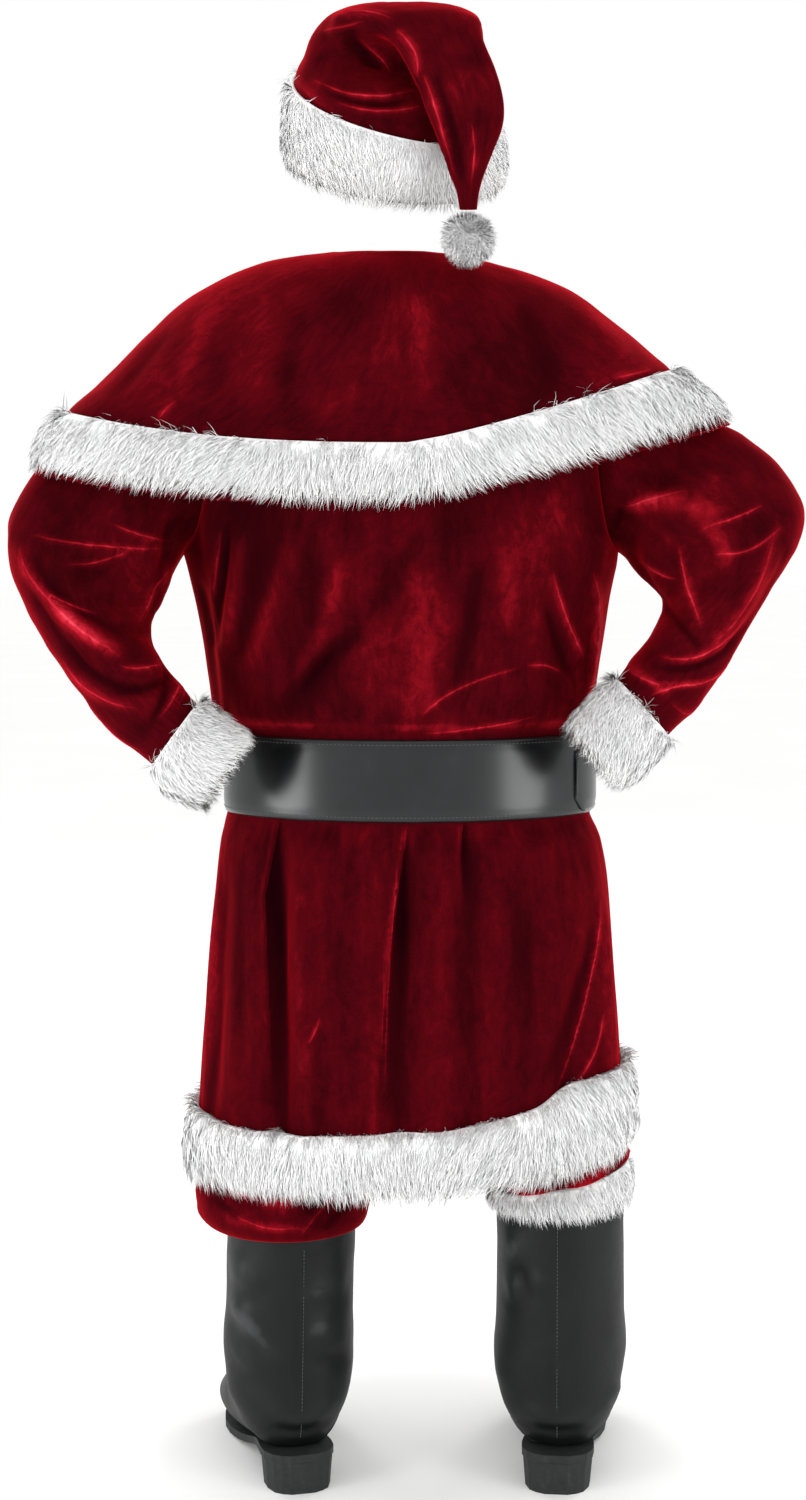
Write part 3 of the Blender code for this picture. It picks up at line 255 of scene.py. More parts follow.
# Cuts across one leg: height at its middle, rise per metre outwards, outer reach, width, the middle
# front to back, depth, and how far round from its outside the cloth runs.
LegCut = namedtuple("LegCut", "height rise reach half_width middle_y back front wrap")
LEFT_LEG = (
    LegCut(0.346, 0.00, 0.2375, 0.0865, -0.018, 0.087, 0.087, 179.6),
    LegCut(0.332, 0.00, 0.2490, 0.0970, -0.018, 0.100, 0.098, 179.6),
    LegCut(0.350, 0.00, 0.2660, 0.1090, -0.018, 0.114, 0.108, 179.6),
    LegCut(0.380, 0.00, 0.2690, 0.1110, -0.018, 0.120, 0.110, 179.6),
    LegCut(0.405, 0.00, 0.2520, 0.1030, -0.016, 0.114, 0.101, 179.6),
    LegCut(0.450, 0.00, 0.2450, 0.0990, -0.014, 0.112, 0.100, 179.6),
    LegCut(0.560, 0.00, 0.2260, 0.0990, -0.010, 0.112, 0.110, 179.6),
    LegCut(0.770, 0.00, 0.2130, 0.1060, 0.000, 0.120, 0.118, 179.6),
)
RIGHT_LEG = (
    LegCut(0.405, 0.22, 0.2774, 0.0826, -0.018, 0.0831, 0.0831, 179.6),
    LegCut(0.399, 0.22, 0.2810, 0.0870, -0.018, 0.090, 0.089, 179.6),
    LegCut(0.411, 0.22, 0.2780, 0.0880, -0.018, 0.094, 0.090, 179.6),
    LegCut(0.432, 0.15, 0.2600, 0.0850, -0.018, 0.098, 0.088, 179.6),
    LegCut(0.480, 0.00, 0.2520, 0.0880, -0.016, 0.104, 0.094, 179.6),
    LegCut(0.580, 0.00, 0.2320, 0.0960, -0.010, 0.110, 0.108, 179.6),
    LegCut(0.770, 0.00, 0.2140, 0.1065, 0.000, 0.120, 0.118, 179.6),
)
# Above the crotch both legs run to the middle, so width follows from reach and wrap.
HIP = (
    LegCut(0.800, 0.00, 0.2130, None, 0.0, 0.122, 0.120, 150.0),
    LegCut(0.835, 0.00, 0.2130, None, 0.0, 0.126, 0.128, 115.0),
    LegCut(0.870, 0.00, 0.2140, None, 0.0, 0.130, 0.138, 96.0),
    LegCut(0.905, 0.00, 0.2175, None, 0.0, 0.1355, 0.1505, 90.0),
)
WAISTBAND_TOP = 0.945

BootCut = namedtuple("BootCut", "y height half_width half_depth pitch")
SHAFT = (
    BootCut(0.017, 0.418, 0.0800, 0.0810, 180),
    BootCut(0.017, 0.350, 0.0805, 0.0815, 180),
    BootCut(0.013, 0.290, 0.0810, 0.0830, 180),
    BootCut(0.007, 0.220, 0.0815, 0.0840, 178),
    BootCut(0.000, 0.170, 0.0840, 0.0870, 168),
    BootCut(-0.006, 0.125, 0.0800, 0.0930, 150),
    BootCut(-0.014, 0.108, 0.0730, 0.0950, 138),
)
FOOT = (
    BootCut(-0.014, 0.108, 0.0730, 0.0950, 138),
    BootCut(-0.055, 0.090, 0.0700, 0.0740, 120),
    BootCut(-0.100, 0.067, 0.0700, 0.0560, 103),
    BootCut(-0.145, 0.053, 0.0660, 0.0440, 94),
    BootCut(-0.185, 0.044, 0.0550, 0.0350, 90),
    BootCut(-0.212, 0.039, 0.0380, 0.0250, 90),
    BootCut(-0.222, 0.037, 0.0200, 0.0150, 90),
)

# The sole from heel to toe, and its top's height above the floor.
SolePoint = namedtuple("SolePoint", "y top")
SOLE = (
    SolePoint(0.090, 0.050),
    SolePoint(0.080, 0.050),
    SolePoint(0.050, 0.048),
    SolePoint(0.010, 0.044),
    SolePoint(-0.040, 0.028),
    SolePoint(-0.090, 0.015),
    SolePoint(-0.140, 0.012),
    SolePoint(-0.180, 0.014),
    SolePoint(-0.210, 0.018),
    SolePoint(-0.226, 0.021),
)
SOLE_ROWS = 17
UPPER_ON_SOLE = 0.0022

# Where each boot stands, and the fur round its top: the upper edge may rise outwards, per metre.
BootPlace = namedtuple("BootPlace", "side x y turn fur_bottom fur_top fur_rise")
BOOTS = (
    BootPlace("left", 0.151, -0.035, 14.0, 0.362, 0.420, 0.0),
    BootPlace("right", -0.196, -0.035, -6.0, 0.360, 0.392, 0.22),
)


# ---------------------------------------------------------------- creases

# Small creases pressed and pulled into the cloth, each on a curve through three places given across
# and up, seen from behind. Depth is above zero on a ridge and below it in a trough.
Crease = namedtuple("Crease", "x1 h1 x2 h2 x3 h3 depth width")
COAT_CREASES = (
    Crease(0.220, 1.203, 0.226, 1.161, 0.233, 1.114, 0.0040, 0.007),
    Crease(0.212, 1.215, 0.221, 1.138, 0.231, 1.058, -0.0070, 0.008),
    Crease(0.262, 1.250, 0.250, 1.150, 0.238, 1.060, -0.0040, 0.012),
    Crease(0.193, 1.206, 0.205, 1.132, 0.221, 1.040, 0.0050, 0.012),
    Crease(0.168, 1.200, 0.180, 1.130, 0.200, 1.040, -0.0025, 0.014),
    Crease(0.131, 1.204, 0.158, 1.115, 0.194, 1.027, 0.0040, 0.015),
    Crease(0.072, 1.182, 0.099, 1.085, 0.145, 0.994, 0.0045, 0.014),
    Crease(-0.028, 1.215, 0.020, 1.140, 0.070, 1.075, -0.0035, 0.020),
    Crease(0.048, 1.088, 0.100, 1.045, 0.146, 0.984, -0.0085, 0.014),
    Crease(-0.026, 1.167, -0.019, 1.075, -0.010, 0.972, 0.0030, 0.020),
    Crease(-0.082, 1.167, -0.073, 1.086, -0.052, 1.016, -0.0040, 0.014),
    Crease(-0.016, 0.984, -0.057, 1.016, -0.139, 1.043, 0.0018, 0.004),
    Crease(-0.139, 1.043, -0.162, 1.043, -0.185, 1.032, 0.0016, 0.004),
    Crease(-0.016, 0.964, -0.085, 0.971, -0.158, 0.983, 0.0016, 0.004),
    Crease(-0.170, 1.155, -0.187, 1.096, -0.212, 1.047, 0.0050, 0.006),
    Crease(-0.163, 1.120, -0.175, 1.073, -0.197, 1.026, -0.0035, 0.007),
    Crease(-0.221, 1.154, -0.226, 1.087, -0.218, 1.002, 0.0050, 0.006),
    Crease(-0.108, 1.190, -0.117, 1.133, -0.115, 1.075, 0.0030, 0.013),
    Crease(0.130, 0.841, 0.138, 0.729, 0.121, 0.510, 0.0015, 0.012),
    Crease(0.011, 0.807, 0.021, 0.701, 0.027, 0.533, 0.0028, 0.005),
    Crease(-0.235, 0.761, -0.216, 0.642, -0.171, 0.513, 0.0030, 0.004),
    Crease(-0.238, 0.617, -0.227, 0.575, -0.203, 0.538, 0.0025, 0.004),
    Crease(-0.225, 0.728, -0.197, 0.632, -0.159, 0.534, -0.0030, 0.010),
    Crease(0.103, 0.628, 0.110, 0.610, 0.118, 0.596, 0.0020, 0.004),
    Crease(0.229, 0.759, 0.235, 0.650, 0.243, 0.527, 0.0035, 0.012),
    Crease(0.200, 0.814, 0.203, 0.694, 0.199, 0.537, -0.0030, 0.010),
)
# The skirt's pleats: at these heights the wedge reaches from right to left in x.
Pleat = namedtuple("Pleat", "heights left right depth")
PLEATS = (
    Pleat((0.560, 0.767, 0.866), (0.163, 0.1705, 0.1520), (0.136, 0.147, 0.1512), 0.003),
    Pleat((0.500, 0.730, 0.862), (0.040, 0.0183, -0.0010), (0.008, -0.002, -0.0022), 0.005),
    Pleat((0.760, 0.820, 0.862), (-0.066, -0.063, -0.0655), (-0.079, -0.075, -0.0665), 0.004),
)
LEFT_SLEEVE_CREASES = (
    Crease(0.437, 1.197, 0.376, 1.185, 0.278, 1.179, 0.0022, 0.004),
    Crease(0.396, 1.163, 0.360, 1.165, 0.323, 1.181, 0.0018, 0.004),
    Crease(0.348, 1.210, 0.316, 1.197, 0.280, 1.187, 0.0020, 0.004),
    Crease(0.452, 1.184, 0.414, 1.123, 0.324, 1.050, 0.0070, 0.009),
    Crease(0.437, 1.181, 0.396, 1.121, 0.313, 1.075, -0.0040, 0.009),
    Crease(0.404, 1.122, 0.372, 1.088, 0.326, 1.058, 0.0060, 0.012),
    Crease(0.420, 1.133, 0.391, 1.117, 0.357, 1.105, 0.0018, 0.004),
    Crease(0.281, 1.219, 0.296, 1.149, 0.315, 1.069, -0.0035, 0.006),
    Crease(0.275, 1.167, 0.302, 1.132, 0.318, 1.091, 0.0030, 0.006),
    Crease(0.408, 1.064, 0.366, 1.017, 0.311, 0.996, 0.0045, 0.007),
    Crease(0.397, 1.075, 0.358, 1.033, 0.304, 1.017, -0.0045, 0.007),
    Crease(0.378, 1.005, 0.339, 0.962, 0.301, 0.943, 0.0035, 0.005),
    Crease(0.275, 1.057, 0.270, 1.017, 0.289, 0.984, 0.0030, 0.005),
    Crease(0.288, 1.049, 0.283, 1.012, 0.300, 0.979, -0.0035, 0.005),
    Crease(0.259, 1.028, 0.266, 0.998, 0.282, 0.963, 0.0030, 0.004),
    Crease(0.334, 1.047, 0.311, 1.042, 0.282, 1.047, 0.0025, 0.005),
    Crease(0.346, 1.017, 0.299, 1.021, 0.269, 1.038, -0.0030, 0.006),
    Crease(0.439, 1.150, 0.414, 1.098, 0.368, 1.042, -0.0030, 0.008),
)
RIGHT_SLEEVE_CREASES = (
    Crease(-0.341, 1.202, -0.386, 1.218, -0.414, 1.232, 0.0022, 0.004),
    Crease(-0.355, 1.173, -0.396, 1.179, -0.436, 1.209, 0.0022, 0.004),
    Crease(-0.267, 1.181, -0.299, 1.119, -0.341, 1.063, -0.0050, 0.006),
    Crease(-0.318, 1.188, -0.329, 1.138, -0.340, 1.088, 0.0045, 0.005),
    Crease(-0.432, 1.223, -0.397, 1.128, -0.344, 1.067, 0.0060, 0.009),
    Crease(-0.446, 1.190, -0.417, 1.121, -0.369, 1.057, -0.0040, 0.008),
    Crease(-0.292, 1.057, -0.342, 1.060, -0.394, 1.107, 0.0035, 0.005),
    Crease(-0.283, 1.046, -0.346, 1.049, -0.397, 1.093, -0.0035, 0.005),
    Crease(-0.285, 1.030, -0.357, 1.032, -0.402, 1.086, 0.0035, 0.005),
    Crease(-0.258, 0.997, -0.300, 1.019, -0.349, 1.028, 0.0030, 0.004),
    Crease(-0.253, 1.046, -0.272, 1.030, -0.298, 1.023, 0.0030, 0.005),
    Crease(-0.246, 1.016, -0.272, 1.011, -0.295, 1.016, -0.0030, 0.005),
    Crease(-0.239, 1.181, -0.246, 1.204, -0.256, 1.229, -0.0030, 0.005),
    Crease(-0.254, 1.229, -0.294, 1.239, -0.331, 1.248, 0.0028, 0.008),
    Crease(-0.262, 1.228, -0.305, 1.235, -0.369, 1.212, 0.0065, 0.014),
    Crease(-0.350, 1.204, -0.368, 1.182, -0.365, 1.150, 0.0055, 0.012),
    Crease(-0.258, 1.047, -0.280, 1.028, -0.304, 1.006, 0.0050, 0.011),
    Crease(-0.278, 1.167, -0.299, 1.151, -0.317, 1.144, 0.0022, 0.004),
    Crease(-0.305, 1.004, -0.331, 0.990, -0.349, 1.016, 0.0030, 0.006),
)
HAT_CREASES = (
    Crease(0.090, 1.797, 0.048, 1.795, 0.014, 1.781, 0.0045, 0.006),
    Crease(0.014, 1.773, -0.010, 1.741, -0.011, 1.714, 0.0050, 0.006),
    Crease(0.104, 1.788, 0.079, 1.784, 0.049, 1.786, 0.0022, 0.004),
    Crease(0.071, 1.781, 0.049, 1.754, 0.023, 1.736, -0.0060, 0.008),
    Crease(0.112, 1.728, 0.052, 1.701, -0.008, 1.711, 0.0030, 0.004),
    Crease(0.098, 1.713, 0.042, 1.692, -0.008, 1.701, -0.0030, 0.005),
    Crease(0.086, 1.698, 0.034, 1.682, -0.019, 1.692, 0.0030, 0.004),
    Crease(0.130, 1.732, 0.104, 1.698, 0.065, 1.674, 0.0035, 0.006),
    Crease(-0.018, 1.719, -0.035, 1.673, -0.058, 1.588, 0.0035, 0.005),
    Crease(-0.030, 1.719, -0.049, 1.666, -0.067, 1.582, -0.0025, 0.005),
    Crease(-0.071, 1.666, -0.076, 1.632, -0.071, 1.588, 0.0015, 0.006),
    Crease(0.056, 1.766, 0.032, 1.752, 0.018, 1.729, 0.0025, 0.004),
)
CAPE_CREASES = (
    Crease(0.288, 1.324, 0.278, 1.337, 0.266, 1.350, 0.0030, 0.005),
    Crease(-0.236, 1.375, -0.263, 1.381, -0.288, 1.390, 0.0030, 0.006),
    Crease(0.224, 1.468, 0.241, 1.422, 0.265, 1.347, 0.0035, 0.014),
    Crease(0.122, 1.464, 0.134, 1.396, 0.139, 1.317, -0.0035, 0.016),
    Crease(-0.014, 1.474, -0.019, 1.407, -0.026, 1.333, 0.0030, 0.016),
    Crease(-0.129, 1.465, -0.148, 1.419, -0.171, 1.357, -0.0035, 0.014),
    Crease(-0.199, 1.466, -0.230, 1.432, -0.265, 1.389, 0.0030, 0.012),
    Crease(0.278, 1.435, 0.314, 1.389, 0.347, 1.354, -0.0030, 0.010),
)
LEG_CREASES = (
    Crease(0.246, 0.403, 0.215, 0.396, 0.176, 0.391, 0.0030, 0.006),
    Crease(0.130, 0.344, 0.108, 0.372, 0.082, 0.396, 0.0035, 0.005),
    Crease(0.104, 0.346, 0.086, 0.363, 0.069, 0.386, -0.0030, 0.005),
    Crease(0.215, 0.372, 0.176, 0.358, 0.130, 0.356, 0.0030, 0.007),
    Crease(0.240, 0.385, 0.220, 0.374, 0.203, 0.363, -0.0025, 0.006),
    Crease(0.248, 0.428, 0.222, 0.413, 0.192, 0.402, 0.0060, 0.011),
    Crease(0.180, 0.398, 0.150, 0.390, 0.124, 0.403, 0.0055, 0.011),
)
BOOT_CREASES = (
    Crease(0.219, 0.253, 0.187, 0.206, 0.149, 0.167, 0.0045, 0.012),
    Crease(0.134, 0.267, 0.107, 0.260, 0.073, 0.265, 0.0033, 0.011),
    Crease(0.220, 0.181, 0.203, 0.167, 0.187, 0.149, 0.0037, 0.011),
    Crease(0.182, 0.082, 0.138, 0.073, 0.095, 0.084, -0.0045, 0.012),
    Crease(0.173, 0.112, 0.131, 0.091, 0.090, 0.114, 0.0045, 0.012),
    Crease(0.121, 0.157, 0.096, 0.167, 0.075, 0.146, -0.0037, 0.012),
    Crease(0.138, 0.318, 0.138, 0.206, 0.136, 0.076, -0.0016, 0.004),
    Crease(-0.121, 0.296, -0.147, 0.265, -0.131, 0.226, -0.0048, 0.011),
    Crease(-0.123, 0.273, -0.136, 0.253, -0.128, 0.234, 0.0045, 0.011),
    Crease(-0.142, 0.265, -0.159, 0.273, -0.172, 0.289, 0.0037, 0.011),
    Crease(-0.145, 0.078, -0.181, 0.076, -0.231, 0.082, -0.0045, 0.012),
    Crease(-0.139, 0.106, -0.194, 0.092, -0.259, 0.114, 0.0045, 0.012),
    Crease(-0.246, 0.098, -0.261, 0.110, -0.271, 0.122, 0.0037, 0.011),
    Crease(-0.174, 0.366, -0.177, 0.206, -0.177, 0.076, -0.0016, 0.004),
    Crease(0.217, 0.306, 0.203, 0.281, 0.187, 0.258, 0.0045, 0.018),
    Crease(0.216, 0.236, 0.201, 0.224, 0.183, 0.203, 0.0050, 0.016),
    Crease(0.126, 0.217, 0.109, 0.212, 0.092, 0.214, 0.0040, 0.016),
    Crease(0.131, 0.338, 0.116, 0.330, 0.097, 0.320, 0.0035, 0.016),
    Crease(-0.118, 0.322, -0.134, 0.309, -0.124, 0.284, 0.0045, 0.013),
)

# Ripples of the cloth: their height, how long they are along each axis, and their seed.
Ripple = namedtuple("Ripple", "height size seed")
SKIRT_RIPPLES = (Ripple(0.0018, (0.034, 0.034, 0.26), 3), Ripple(0.0008, (0.013, 0.013, 0.11), 4))
BODICE_RIPPLES = (Ripple(0.0026, (0.060, 0.060, 0.13), 5), Ripple(0.0011, (0.022, 0.022, 0.06), 6))
WAIST_GATHERS = (Ripple(0.0018, (0.018, 0.018, 0.20), 7),)
SLEEVE_RIPPLES = (Ripple(0.0018, (0.050, 0.050, 0.050), 31), Ripple(0.0008, (0.018, 0.018, 0.018), 32))
CAPE_RIPPLES = (Ripple(0.0022, (0.075, 0.075, 0.09), 41), Ripple(0.0009, (0.024, 0.024, 0.040), 42))
HAT_RIPPLES = (Ripple(0.0016, (0.040, 0.040, 0.040), 51), Ripple(0.0008, (0.016, 0.016, 0.016), 52))
LEG_GATHERS = (Ripple(0.0026, (0.022, 0.022, 0.09), 61), Ripple(0.0014, (0.030, 0.030, 0.018), 62))

# ---------------------------------------------------------------- fineness of the visible cloth

YOKE_STEPS = 64
COAT_ROWS = 209
COAT_PANELS = {
    "coat_back": (0.0, 180.0, 221),
    "coat_front_right": (180.0, 270.0, 61),
    "coat_front_left": (270.0, 360.0, 61),
}
SLEEVE_ROWS = 157
CAPE_COLUMNS = 176
CAPE_ROWS = 57
HAT_COLUMNS = 96
HAT_ROWS = 157
LEG_COLUMNS = 64
LEG_ROWS = 89
BOOT_COLUMNS = 64
SHAFT_ROWS = 61
FOOT_ROWS = 41
BELT_COLUMNS = 240
BELT_ROWS = 25
LINING_STEP = 4  # the lining is this many times coarser
CREASE_STEPS = 40
PAINTED_SHADING_HEIGHT = 0.006  # a ripple this high gets the most painted light on its crest and painted shade in its hollow
PAINTED_SHADING_LIMIT = 1.6
CREST_LIGHT = 0.36  # how much painted light the crest of the smallest crease gets, or painted shade if it is a trough
CREST_DEPTH = 0.012  # a crease this deep adds 1 to it
CREST_WIDTH = 0.85  # of the crease's own width
CREST_FINE = 0.006  # a wider crease is fainter in its light
CREST_WIDEST = 0.010  # a wider one gets no painted highlight line
CREST_SPAN = 0.007  # how far to each side a crest knows of its line
CREST_FAR = 0.05  # stands for no line near
CREST_HALF = 0.0015  # half the width of the painted highlight line
SHADED_LAYERS = ("nap", "crest", "away")  # what crease_marks gives besides the lift
MARK_LAYERS = 1 + len(SHADED_LAYERS)
PLEAT_STARTS = (0.0, 0.08)  # shares of a pleat's height, from its top, over which it begins
PLEAT_ENDS = (0.15, 1.15)  # and over which it dies out
PLEAT_SOFT = 0.0025  # half the width of the wedge's soft edge
PLEAT_RIDGE = 0.003  # how far the ridge is from the wedge, and half its width
PLEAT_RISE = 0.0015
PLEAT_PAINTED_LIGHT = 0.35  # how much painted light the ridge gets
PLEAT_PAINTED_SHADE = 0.9  # how much painted shade the wedge gets
PLEAT_LINE = 0.8  # how clear the painted highlight line is
FOLD_PAINTED_SHADING = 0.045  # a fold this high adds 1 to the painted light on its ridge, or to the painted shade in its trough
BACK_FACING = (0.0, 0.35)  # how far back normals point where the back's creases begin, and are whole
FRONT_CREASE_SHARE = 0.8
ARMHOLE_CALM = 0.025  # creases die out this close to the armhole's seam
FRONT_FUR_REACH = (0.045, 0.065)  # from the middle, where creases begin beside the front's fur
SKIRT_ENDS = (0.84, 0.87)  # heights between which the skirt's ripples die out
BODICE_STARTS = (0.95, 1.0)  # heights between which the bodice's begin
ROLL_HEIGHT = 0.972  # of the roll of cloth above the belt
ROLL_REACH = 0.004
ROLL_PAINTED_HIGHLIGHT = 0.6
ROLL_PATCH = (0.045, 0.045, 0.2)  # how long the stretches are that get the painted highlight
BELT_STITCH_IN = 0.006  # from the belt's edge
BELT_END_COLUMNS = 65
WAISTBAND_ROWS = 9
BOOT_FUR_COLUMNS = 256
FRONT_FUR_COLUMNS = 60
FRONT_FUR_FROM = 0.968  # height of the upper strip's lower end
CALM_ROWS = 8  # the rows over which a sleeve's creases die out, and twice those of the cape's
SLEEVE_FRONT_SHIFT = -0.015  # how far up the front's creases lie, against the back's
CAPE_FRONT_SHIFT = 0.010
HAT_FRONT_SHIFT = -0.010
LEG_FRONT_SHIFT = 0.006
COAT_FRONT_SHIFT = 0.012
GATHERS_START = (0.345, 0.36)  # heights between which the trousers' gathers begin
GATHERS_END = (0.40, 0.46)  # and die out
SHAFT_FUR = (0.33, 0.35)  # heights between which a boot's folds die out under its fur
SEAM_ENDS = 6  # rows of the shaft that its back seam leaves free at each end
STITCH_LINE = 721  # points round the belt
STITCH_SUNK = 0.0004  # into the belt
STITCH_OUT = 0.0012  # over the boot
STITCH_FILL = 0.78  # of the stitch's pitch
STITCH_SIDES = 6

# How a band of fur lies. Density is blades a square metre, and thickness and length are in metres.
# body is the share of the thickness that is solid under the blades, and insets are shares of the
# band's width. ruff is how far the topmost fibres stand up over the band's upper edge, and falls_to
# says which of its lines is the lower edge.
FurLook = namedtuple(
    "FurLook", "thickness density length rise fall scatter lean body low_inset high_inset ruff falls_to seed"
)
FUR_LOCKS = 62.0  # locks of fur about sixteen millimetres wide
FUR_LUMP = (0.030, 0.030, 0.030)
FUR_TUFT = (0.013, 0.013, 0.013)  # how wide the tufts on the upper edge are
FUR_SWIRL = (0.10, 0.10, 0.10)  # how long the pile keeps one way before it turns
FUR_SIDES = 9  # lines across a band's outer side
FUR_EDGE_DROP = 0.6  # how much thinner a band is along its edges
FUR_UNEVEN = 0.22  # how much its lumps rise and fall
FUR_SIDEWAYS = 0.9  # how far the pile turns aside
FUR_UPRIGHT = 0.55  # how far it stands up in places
FUR_TOP = 0.2  # the share of a band's width that its topmost fibres take
TUFT_LEVEL = 0.3  # how far tufts stand up on average
TUFT_SWING = 1.1  # and how much more the highest do
RIM_LAID = 0.7  # how far the pile on a band's upper wall leans outward
HEM_LOOK = FurLook(0.020, 280000, 0.026, 0.20, 1.00, 0.12, 0.8, 0.70, 0.14, 0.00, 0.0, 0, 21)
CAPE_LOOK = FurLook(0.017, 270000, 0.023, 0.21, 1.00, 0.12, 0.8, 0.67, 0.24, 0.01, 0.25, -1, 22)
CUFF_LOOK = FurLook(0.014, 300000, 0.017, 0.28, 0.80, 0.14, 0.9, 0.69, 0.06, 0.08, 0.32, -1, 23)
HAT_LOOK = FurLook(0.014, 280000, 0.017, 0.25, 0.90, 0.13, 0.9, 0.72, 0.08, -0.04, 0.33, 0, 24)
BOOT_LOOK = FurLook(0.012, 280000, 0.020, 0.25, 1.00, 0.14, 0.9, 0.69, 0.10, -0.02, 0.35, 0, 25)
FRONT_LOOK = FurLook(0.012, 200000, 0.019, 0.28, 0.90, 0.14, 0.9, 0.74, 0.00, 0.00, 0.0, 0, 26)
POMPOM_LOOK = FurLook(POMPOM_RADIUS, 700000, 0.011, 1.0, 0.20, 0.26, 0.8, 0.72, 0.0, 0.0, 0.0, 0, 27)

# Each lamp's place, its diameter in metres and its share of the light power.
LAMPS = (
    ("lamp_back_left", (2.85, 1.8, -0.75), 1.6, 1.35),
    ("lamp_back_right", (-2.75, 2.0, -0.75), 1.6, 1.0),
    ("lamp_front_left", (2.6, -3.0, 1.2), 1.6, 0.8),
    ("lamp_front_right", (-2.6, -3.0, 1.0), 1.6, 0.8),
    ("lamp_top", (0.0, 1.0, 2.6), 2.0, 0.25),
)
LAMP_AIM = (0.0, 0.0, -0.4)
FLOOR_RADIUS = 40.0
FLOOR_SIDES = 64
WORLD_STRENGTH = 1.0
CAMERA_PLACE = (0.0049, 2.9, 1.215 - HOLD_HEIGHT)
CAMERA_TURN = (84.4, 0.0, 180.0)
CAMERA_LENS = 56.6

# ---------------------------------------------------------------- tables and grids


def column(rows, name):
    return np.array([getattr(row, name) for row in rows], float)


def along(knots, values, at):
    """Values at any place between a table's rows: a cubic through them, kept from overshooting."""
    knots, values, at = np.asarray(knots, float), np.asarray(values, float), np.asarray(at, float)
    spread = (1,) * (values.ndim - 1)
    step = np.diff(knots).reshape(-1, *spread)
    rise = np.diff(values, axis=0) / step
    low, high = rise[:-1], rise[1:]
    share = (step[1:] + 2 * step[:-1]) / (3 * (step[1:] + step[:-1]))
    same_way = low * high > 0
    middle = low * high / np.where(same_way, share * high + (1 - share) * low, 1.0)
    slope = np.concatenate([rise[:1], np.where(same_way, middle, 0.0), rise[-1:]])
    at = np.clip(at, knots[0], knots[-1])
    i = np.clip(np.searchsorted(knots, at, side="right") - 1, 0, len(step) - 1)
    t = (at - knots[i]).reshape(at.shape + spread) / step[i]
    return (
        values[i] * (1 + 2 * t) * (1 - t) ** 2
        + values[i + 1] * t * t * (3 - 2 * t)
        + step[i] * (slope[i] * t * (1 - t) ** 2 + slope[i + 1] * t * t * (t - 1))
    )


def resampled(rows, count):
    """The table's columns at count even steps from its first row to its last."""
    knots = np.arange(len(rows))
    at = np.linspace(0, len(rows) - 1, count)
    return {name: along(knots, column(rows, name), at) for name in rows[0]._fields}


def finer(grid, count):
    """count rows of points on smooth curves through the grid's rows."""
    return along(np.arange(len(grid)), grid, np.linspace(0, len(grid) - 1, count))


def squared(wave, square):
    """A cosine or sine raised so that a round ring turns into a fuller, squarer one."""
    return np.sign(wave) * np.abs(wave) ** (2.0 / square)


def stacked(x, y, height):
    return np.stack(np.broadcast_arrays(x, y, np.asarray(height) - HOLD_HEIGHT), axis=-1)


def unit(vectors):
    length = np.linalg.norm(vectors, axis=-1, keepdims=True)
    return vectors / np.maximum(length, 1e-12)


def normals_of(grid, closed, centre=None):
    """Outward normals of a grid of points [row, column]."""
    if closed:
        across = np.roll(grid, -1, axis=1) - np.roll(grid, 1, axis=1)
    else:
        across = np.gradient(grid, axis=1)
    up = np.gradient(grid, axis=0)
    normals = unit(np.cross(across, up))
    middle = grid.mean(axis=1, keepdims=True) if centre is None else centre
    outward = np.sum(normals * (grid - middle), axis=-1)
    return normals if outward.mean() > 0 else -normals


def share_edges(grids, normals):
    """Where grids of one garment meet in the same points, both get the mean of their normals."""
    met = {}
    for key, grid in grids.items():
        rows, columns = grid.shape[:2]
        edge = {(i, j) for i in range(rows) for j in (0, columns - 1)}
        edge |= {(i, j) for i in (0, rows - 1) for j in range(columns)}
        for i, j in sorted(edge):
            place = tuple(np.round(grid[i, j] / 1e-5).astype(int))
            met.setdefault(place, []).append((key, i, j))
    for users in met.values():
        mean = sum(normals[key][i, j] for key, i, j in users)
        mean = mean / max(np.linalg.norm(mean), 1e-9)
        for key, i, j in users:
            normals[key][i, j] = mean


def drawn_in(points, amount, rows=(True, True), columns=(True, True)):
    """The grid with its outermost rows and columns drawn towards their neighbours."""
    out = points.copy()
    for use, edge, inner in ((rows[0], 0, 1), (rows[1], -1, -2)):
        if use:
            out[edge] += unit(points[inner] - points[edge]) * amount
    for use, edge, inner in ((columns[0], 0, 1), (columns[1], -1, -2)):
        if use:
            out[:, edge] += unit(points[:, inner] - points[:, edge]) * amount
    return out


def bell(value, centre, reach):
    """1 at the centre, fading out over the reach."""
    return np.exp(-(((value - centre) / reach) ** 2))


def level(ways):
    """The ways laid level."""
    return unit(ways * np.array([1, 1, 0]))


def smooth_step(value, low, high):
    t = np.clip((value - low) / (high - low), 0, 1)
    return t * t * (3 - 2 * t)


def ripples(points, size, seed):
    """Soft noise from -1 to 1. size is how long a ripple is along each axis."""
    cell = points / np.asarray(size)
    base = np.floor(cell).astype(np.int64)
    part = cell - base
    part = part * part * (3 - 2 * part)
    total = np.zeros(points.shape[:-1])
    for corner in np.ndindex(2, 2, 2):
        key = (base + corner) @ np.array([73856093, 19349663, 83492791]) + seed * 7919
        key = (key ^ (key >> 13)) * 1274126177 & 0x7FFFFFFF
        value = ((key ^ (key >> 16)) & 0xFFFF) / 32767.5 - 1
        share = np.prod(np.where(np.array(corner) == 1, part, 1 - part), axis=-1)
        total += value * share
    return total


